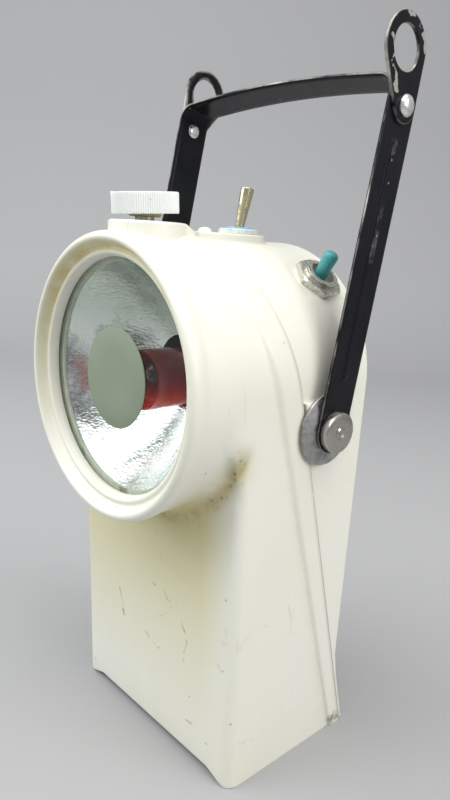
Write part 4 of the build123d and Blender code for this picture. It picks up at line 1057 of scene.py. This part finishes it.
tree.links.new(blend_colours(tree, mark(tree, "paint"), tint, blue), shader.inputs["Base Color"])
emboss(tree, shader, blue_cloud, 0.4, 0.0003)
for piece in (round_nut, crust):
    piece.data.materials.append(daubed)
    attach(piece, "casing")
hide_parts("top_switch_lever")
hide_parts("top_switch_nut")

# Dome plug: small domed plug of the cream plastic, pressed into a hole in the pad in front of the
# top toggle, with a dirty line round its foot.
PLUG_Y, PLUG_R, PLUG_STEM_R, PLUG_HIGH = 52.9, 3.1, 2.4, 1.9
quarter = np.linspace(0, pi / 2, 12)
dome_top = np.stack([PLUG_R * np.cos(quarter), 0.3 + PLUG_HIGH * np.sin(quarter)], -1)
dome_profile = np.concatenate([[(0, -4.0), (PLUG_STEM_R, -4.0), (PLUG_STEM_R, 0), (PLUG_R, 0)], dome_top])
clean = np.zeros(len(dome_profile))
foot_line = np.append([0, 0, 0.4, 0.6], np.zeros(len(dome_top)))
dome = lathe("dome_plug_skin", dome_profile, (0, PLUG_Y, PAD_TOP), (0, 0, 1), 64, crease=50,
             seam=foot_line, band=clean, cove=clean, rim=clean)
dome.data.materials.append(cream)
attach(dome, "casing")
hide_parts("dome_plug")

# Shoulder toggle: hexagon nut of pitted zinc steel round the switch's bush, and a teal plastic bat
# that stands in the bush's socket and tips sideways. The lamp's other steel is duller zinc.
zinc = worn_metal("dull zinc", (0.52, 0.52, 0.47, 1), (0.40, 0.39, 0.33, 1), 260.0, 0.52, 0.55)
dress(zinc, "top_switch_body", "snap_ring", "holder_bracket", "bracket_screws", "cover_screws",
      "pivot_nuts", "selector_spindle")
pitted = worn_metal("pitted grey zinc", (0.68, 0.68, 0.62, 1), (0.48, 0.47, 0.40, 1), 700.0, 0.45, 0.50)
dress(pitted, "side_switch_nut", "side_switch_body")
TEAL_LEAN = radians(31.5)
teal_way = np.array([sin(TEAL_LEAN), 0.0, cos(TEAL_LEAN)])
teal_profile = [(0, -2.4), (2.6, -2.4), (2.9, 0), (2.9, 3.0), (3.05, 6.0), (3.2, 9.0), (3.35, 11.6),
                (3.3, 12.4), (3.05, 13.2), (2.55, 13.85), (1.75, 14.25), (0.8, 14.39), (0, 14.4)]
teal_base = np.array([0, SIDE_Y, AXIS_Z]) + spoke * (SIDE_FLAT + 0.6)
teal_bat = lathe("side_bat_skin", teal_profile, teal_base, teal_way, 64)
teal, tree, shader, place = new_material("teal plastic", Roughness=0.32)
faded = use(tree, blotches, Place=place, Scale=220.0, Cover=0.45, Softness=0.2)
tint = blend_colours(tree, faded, (0.05, 0.32, 0.33, 1), (0.09, 0.40, 0.40, 1))
height = add(tree, "ShaderNodeSeparateXYZ", {"Vector": place}).outputs["Z"]
rubbed = use(tree, scratches, Place=place, Scale=260.0, Width=0.02, Share=0.45)
tint = stain(tree, rubbed, 0.4, tint, (0.30, 0.60, 0.58, 1))
# The bat is darker towards its foot in the bush.
foot_darkening = times(tree, ramp(tree, height, 0.2275, 0.2235), 0.7)
tint = blend_colours(tree, foot_darkening, tint, (0.04, 0.10, 0.09, 1))
tree.links.new(tint, shader.inputs["Base Color"])
emboss(tree, shader, faded, 0.1, 0.0002)
teal_bat.data.materials.append(teal)
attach(teal_bat, "side_lever")
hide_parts("side_switch_lever")

# Handle: one steel strip, 18.6 by 1.5 mm, bent over twice into a bail with rounded ends and a
# pressed rib on the outside of each arm. Its black enamel has worn off along the edges.
ARM_X, STRIP_T, HALF_W, BEND, STRIP_ROUND = 66.0, 1.5, 9.3, 8.0, 0.35
BAR_MID, BAR_END = 147.6, 143.6
RIB_LOW, RIB_HIGH, RIB_HALF, RIB_PROUD = 24.1, 118.9, 2.1, 0.7
LEAN = radians(10.3)
bar_r = (ARM_X ** 2 + (BAR_MID - BAR_END) ** 2) / (2 * (BAR_MID - BAR_END))
bar_centre = BAR_MID - bar_r
bend_x = ARM_X - BEND
bend_up = bar_centre + sqrt((bar_r - BEND) ** 2 - bend_x ** 2)
swing = float(np.arcsin(bend_x / (bar_r - BEND)))
end_up = -HALF_W * np.cos(np.linspace(0, pi / 2, 14))
arm_up = np.unique(np.concatenate([
    end_up, np.linspace(0, 20, 8), np.linspace(20, 28, 13), np.linspace(28, 115, 34),
    np.linspace(115, 123, 13), np.linspace(123, bend_up, 8)]))
around_bend = np.linspace(0, pi / 2 - swing, 14)[1:]
along_bar = np.linspace(swing, 0, 26)[1:]

# Path of the strip's outer face: place across and up, and the outward direction's share of each;
# an arm, the bend and half of the bar, then the same mirrored
path = np.concatenate([
    np.stack([ARM_X + 0 * arm_up, arm_up, 1 + 0 * arm_up, 0 * arm_up], -1),
    np.stack([bend_x + BEND * np.cos(around_bend), bend_up + BEND * np.sin(around_bend),
              np.cos(around_bend), np.sin(around_bend)], -1),
    np.stack([bar_r * np.sin(along_bar), bar_centre + bar_r * np.cos(along_bar),
              np.sin(along_bar), np.cos(along_bar)], -1)])
path = np.concatenate([path, (path * [-1, 1, -1, 1])[-2::-1]])
half = HALF_W + 0 * path[:, 0]
below = path[:, 1] < 0
half[below] = np.sqrt(np.maximum(HALF_W ** 2 - path[below, 1] ** 2, 1e-4))

# Cross section: share of the half width, and level from the outer face, first across the outer
# face, then down one edge, back across the inner face and up the other edge
outer_a = np.concatenate([
    np.linspace(0.96, 0.34, 8), np.linspace(0.27, -0.27, 25), np.linspace(-0.34, -0.96, 8)])
edge_levels = (-STRIP_ROUND * 0.7, -STRIP_ROUND, -STRIP_T / 2, STRIP_ROUND - STRIP_T)
section = [(a, 0.0) for a in outer_a] + [(-1.0, level) for level in edge_levels]
section += [(a, -STRIP_T) for a in np.linspace(-0.96, 0.96, 9)]
section += [(1.0, level) for level in reversed(edge_levels)]
section = np.array(section)
across = section[:, 0] * half[:, None]
up_arm = path[:, 1:2]
end_gap = np.clip(RIB_LOW - up_arm, 0, None) + np.clip(up_arm - RIB_HIGH, 0, None)
from_rib = np.hypot(across, end_gap)
on_face = (section[:, 1] > -0.01) * (np.abs(path[:, 2:3]) > 0.999)
rib_mark = smooth((RIB_HALF - from_rib) / 0.75) * on_face
offset = section[:, 1] + RIB_PROUD * rib_mark
flat_x = path[:, :1] + path[:, 2:3] * offset
flat_up = path[:, 1:2] + path[:, 3:4] * offset


def on_arm(x, across, up):
    """Points from a place across and up the handle, which leans back about its pivots.

    y = pivot + across * cos + up * sin and z = pivot - across * sin + up * cos of the lean.
    """
    y = PIVOT_Y + across * cos(LEAN) + up * sin(LEAN)
    z = PIVOT_Z - across * sin(LEAN) + up * cos(LEAN)
    return np.stack([x, y, z], -1)


edge_wear_and_rib_highlight = 0.75 * (np.abs(section[:, 0]) > 0.99) * (section[:, 1] > -0.9) + 0 * across
# The pressed rib takes pale patches too: a painted highlight along it.
edge_wear_and_rib_highlight = np.maximum(edge_wear_and_rib_highlight, 0.45 * rib_mark)
bail = grid_mesh("handle_skin", on_arm(flat_x, across, flat_up), loop_columns=True, crease=60, edge=edge_wear_and_rib_highlight)

# Worn patches of the right eye's enamel: from, to, half width; in metres
WORN = [
    ((0.0676, 0.0345, 0.3277), (0.0676, 0.0406, 0.3262), 0.0014),
    ((0.0676, 0.0406, 0.3262), (0.0676, 0.0447, 0.3218), 0.0017),
    ((0.0676, 0.0447, 0.3218), (0.0676, 0.0458, 0.3160), 0.0015),
    ((0.0676, 0.0235, 0.3170), (0.0676, 0.0262, 0.3096), 0.0009),
    ((0.0676, 0.0262, 0.3096), (0.0676, 0.0301, 0.2993), 0.0011),
]
enamel, tree, shader, place = new_material("black enamel", Roughness=0.24, Specular_IOR_Level=0.11)
dusty = use(tree, blotches, Place=place, Scale=45.0, Cover=0.45, Softness=0.25)
tint = blend_colours(tree, dusty, (0.006, 0.0065, 0.009, 1), (0.013, 0.0135, 0.016, 1))
worn_cloud = use(tree, blotches, Place=place, Scale=60.0, Cover=0.50, Softness=0.22)
bare_and_sheen = times(tree, mark(tree, "edge"), worn_cloud)
bare_and_sheen = ramp(tree, bare_and_sheen, 0.25, 0.75)
chips = use(tree, specks, Place=place, Scale=330.0, Share=0.03, Size=0.18)
fine = use(tree, scratches, Place=place, Scale=90.0, Width=0.012, Share=0.36)
bare_and_sheen = value_step(tree, "ADD", bare_and_sheen, times(tree, chips, 0.7), clamp=True)
for start, end, width in WORN:
    patch = use(tree, scuff, Place=place, From=start, To=end, Width=width, Ragged=0.45)
    bare_and_sheen = value_step(tree, "ADD", bare_and_sheen, ramp(tree, patch, 0.15, 0.45), clamp=True)
tint = stain(tree, fine, 0.3, tint, (0.06, 0.06, 0.06, 1))
tint = blend_colours(tree, bare_and_sheen, tint, (0.42, 0.41, 0.36, 1))
tree.links.new(tint, shader.inputs["Base Color"])
tree.links.new(times(tree, bare_and_sheen, 0.6), shader.inputs["Metallic"])
rough = value_step(tree, "ADD", times(tree, dusty, 0.16), times(tree, bare_and_sheen, 0.15))
tree.links.new(value_step(tree, "ADD", rough, 0.20), shader.inputs["Roughness"])
peel = noise_of(tree, place, 240.0, 2.0)
relief = value_step(tree, "SUBTRACT", times(tree, peel, 0.5), bare_and_sheen)
emboss(tree, shader, relief, 0.22, 0.0003)
bail.data.materials.append(enamel)
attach(bail, "bail_handle")
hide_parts("handle")

# Strap eyes: pear-shaped plates riveted loosely outside the top of each arm, enamelled black
# and worn to pale metal round the hole and along the edges.
EYE_R, EYE_HOLE, FOOT_R, EYE_LONG, EYE_T = 13.2, 8.5, 6.8, 20.9, 1.6
EYE_UP = 133.5
turn = np.linspace(0, 2 * pi, 180, endpoint=False)
rays = np.stack([np.sin(turn), np.cos(turn)], -1)

# The rim is where a ray from the hole's middle leaves the row of circles that shrink from the eye
# to the rivet; halving the space between a point inside and one outside finds it for every ray.
share = np.linspace(0, 1, 240)
inside, outside = np.full_like(turn, 5.0), np.full_like(turn, 60.0)
for _ in range(34):
    middle = (inside + outside) / 2
    tip = rays * middle[:, None]
    gap = np.hypot(tip[:, :1], tip[:, 1:] + share * EYE_LONG) - (EYE_R + (FOOT_R - EYE_R) * share)
    within = gap.min(1) <= 0
    inside = np.where(within, middle, inside)
    outside = np.where(within, outside, middle)
rim = inside

# Rows from the hole over the outer face to the rim and back over the inner face: share of the way
# to the rim, distance added, level below the outer face, bareness
eye_rows = []
for part, further, level, bare_edge in (
        (0.0, 0.0, 0.8, 1.0), (0.0, 0.0, 0.35, 1.0), (0.0, 0.12, 0.1, 0.9), (0.0, 0.45, 0.0, 0.3),
        (0.0, 1.0, 0.0, 0.0), (0.33, 0.0, 0.0, 0.0), (0.66, 0.0, 0.0, 0.0), (1.0, -1.0, 0.0, 0.0),
        (1.0, -0.45, 0.0, 0.3), (1.0, -0.12, 0.1, 0.9), (1.0, 0.0, 0.35, 1.0), (1.0, 0.0, 0.8, 1.0),
        (1.0, 0.0, 1.3, 1.0), (1.0, -0.3, EYE_T, 0.8), (0.5, 0.0, EYE_T, 0.0), (0.0, 0.3, EYE_T, 0.8),
        (0.0, 0.0, 1.3, 1.0)):
    eye_rows.append((EYE_HOLE + (rim - EYE_HOLE) * part + further, EYE_T - level, bare_edge))
rivet_spot = on_arm(0.0, 0.0, EYE_UP)
for side, body, node, turned_by in ((1, "right_eye", "eye_plate_right", radians(-19.0)),
                                    (-1, "left_eye", "eye_plate_left", radians(15.0))):
    hang = LEAN + turned_by
    points, bare_marks = [], []
    for radius, level, bare_edge in eye_rows:
        sideways = rays[:, 0] * radius
        upward = rays[:, 1] * radius + EYE_LONG
        y = rivet_spot[1] + sideways * cos(hang) + upward * sin(hang)
        z = rivet_spot[2] - sideways * sin(hang) + upward * cos(hang)
        points.append(np.stack([side * (ARM_X + level) + 0 * y, y, z], -1))
        bare_marks.append(1.1 * bare_edge + 0 * y)
    eye_plate = grid_mesh(f"{node}_skin", np.array(points), loop_rows=True, loop_columns=True, crease=60,
                          edge=np.array(bare_marks))
    eye_plate.data.materials.append(enamel)
    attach(eye_plate, body)
    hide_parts(node)

# Eye rivets: aluminium rivets that hold the strap eyes on the arms, with a round head outside and
# a low closing head inside.
aluminium = worn_metal("dull aluminium", (0.80, 0.79, 0.78, 1), (0.46, 0.44, 0.42, 1), 330.0, 0.40, 0.42)
rivet_profile = [
    (0, 63.3), (1.6, 63.3), (2.8, 63.45), (3.5, 63.9), (3.6, 64.5), (2.5, 64.6), (2.5, 67.5), (4.3, 67.55),
    (4.4, 67.9), (4.25, 68.5), (3.8, 69.1), (3.1, 69.6), (2.1, 69.95), (1.0, 70.1), (0, 70.1)]
for side in (1, -1):
    rivet = lathe(f"eye_rivet_{side}", rivet_profile, rivet_spot, (side, 0, 0), 48, crease=45)
    rivet.data.materials.append(aluminium)
    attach(rivet, "bail_handle")
    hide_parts("eye_rivets")

# Pivots: dished washers of mottled zinc steel against the blocks, and the satin heads of the
# shoulder screws that the handle swings on, each with a small raised ring in its middle.
mottled = worn_metal("mottled washer steel", (0.42, 0.42, 0.43, 1), (0.25, 0.24, 0.23, 1), 210.0, 0.5, 0.5)
satin = worn_metal("satin steel", (0.40, 0.39, 0.36, 1), (0.30, 0.28, 0.25, 1), 120.0, 0.42, 0.42)
washer_profile = [
    (4.1, BLOCK_FACE), (14.2, BLOCK_FACE), (15.6, BLOCK_FACE), (15.8, 61.8), (15.8, 62.5), (15.6, 62.8),
    (14.8, 63.0), (12.0, 63.68), (8.9, 64.4), (8.4, 64.5), (4.1, 64.5), (4.1, BLOCK_FACE)]
pin_profile = [
    (3.9, 58.0), (3.9, 66.1), (8.3, 66.1), (8.6, 66.3), (8.7, 66.7), (8.7, 69.3), (8.55, 69.7), (8.2, 69.9),
    (5.0, 69.85), (2.7, 69.9), (2.5, 70.3), (2.1, 70.5), (1.7, 70.4), (1.4, 70.15), (0.7, 70.1), (0, 70.1)]
for side in (1, -1):
    for name, profile, material in (("pivot_washer", washer_profile, mottled),
                                    ("pivot_pin", pin_profile, satin)):
        piece = lathe(f"{name}_{side}", profile, (0, PIVOT_Y, PIVOT_Z), (side, 0, 0), 96, crease=38)
        piece.data.materials.append(material)
        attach(piece, "casing")
        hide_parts(f"{name}s")

# Bulb, holder and carrier: a glass bulb in a dull brass holder stands in the bowl's neck, and a
# slide of black plastic carries the red tube along it.


def mottled_plastic(name, first, second, scale, roughness, strength=0.15, **sockets):
    """Glass or plastic of two close colours in cloudy patches, with fine grain and dust."""
    material, tree, shader, place = new_material(name, Roughness=roughness, **sockets)
    patches = use(tree, blotches, Place=place, Scale=scale, Cover=0.5, Softness=0.2)
    dust = use(tree, specks, Place=place, Scale=scale * 8, Share=0.08, Size=0.25)
    tint = blend_colours(tree, patches, first, second)
    tint = stain(tree, dust, 0.4, tint, (0.40, 0.38, 0.34, 1))
    tree.links.new(tint, shader.inputs["Base Color"])
    grain = noise_of(tree, place, scale * 12, 3.0)
    emboss(tree, shader, grain, strength, 0.0002)
    return material


bulb_glass = mottled_plastic("bulb glass", (0.90, 0.93, 0.92, 1), (0.80, 0.84, 0.82, 1), 90.0, 0.05, 0.03,
                             Transmission_Weight=0.95)
dress(bulb_glass, "bulb")
brassy = worn_metal("dull brass", (0.62, 0.46, 0.20, 1), (0.30, 0.20, 0.08, 1), 180.0, 0.42, 0.35)
dress(brassy, "bulb_holder")
black = mottled_plastic("black plastic", (0.018, 0.018, 0.020, 1), (0.040, 0.040, 0.042, 1), 90.0, 0.45)
dress(black, "filter_carrier")

# Battery: sealed block in a dark grey plastic case, low in the casing. A pad of grey foam holds it
# off the rear cover.
case = mottled_plastic("battery case", (0.055, 0.060, 0.068, 1), (0.085, 0.090, 0.098, 1), 40.0, 0.5)
dress(case, "battery")
foam = mottled_plastic("grey foam", (0.11, 0.11, 0.11, 1), (0.17, 0.17, 0.17, 1), 160.0, 0.9, 0.6)
dress(foam, "battery_pad")

# Leads: copper wires in red, black and white plastic insulation, laid inside the casing from the
# battery to the toggles and the bulb holder.
for node, first, second in (("lead_positive", (0.42, 0.02, 0.02, 1), (0.55, 0.05, 0.04, 1)),
                            ("lead_negative", (0.020, 0.020, 0.022, 1), (0.045, 0.045, 0.045, 1)),
                            ("lead_lamp", (0.66, 0.66, 0.62, 1), (0.56, 0.55, 0.50, 1))):
    dress(mottled_plastic(f"{node} insulation", first, second, 120.0, 0.42), node)
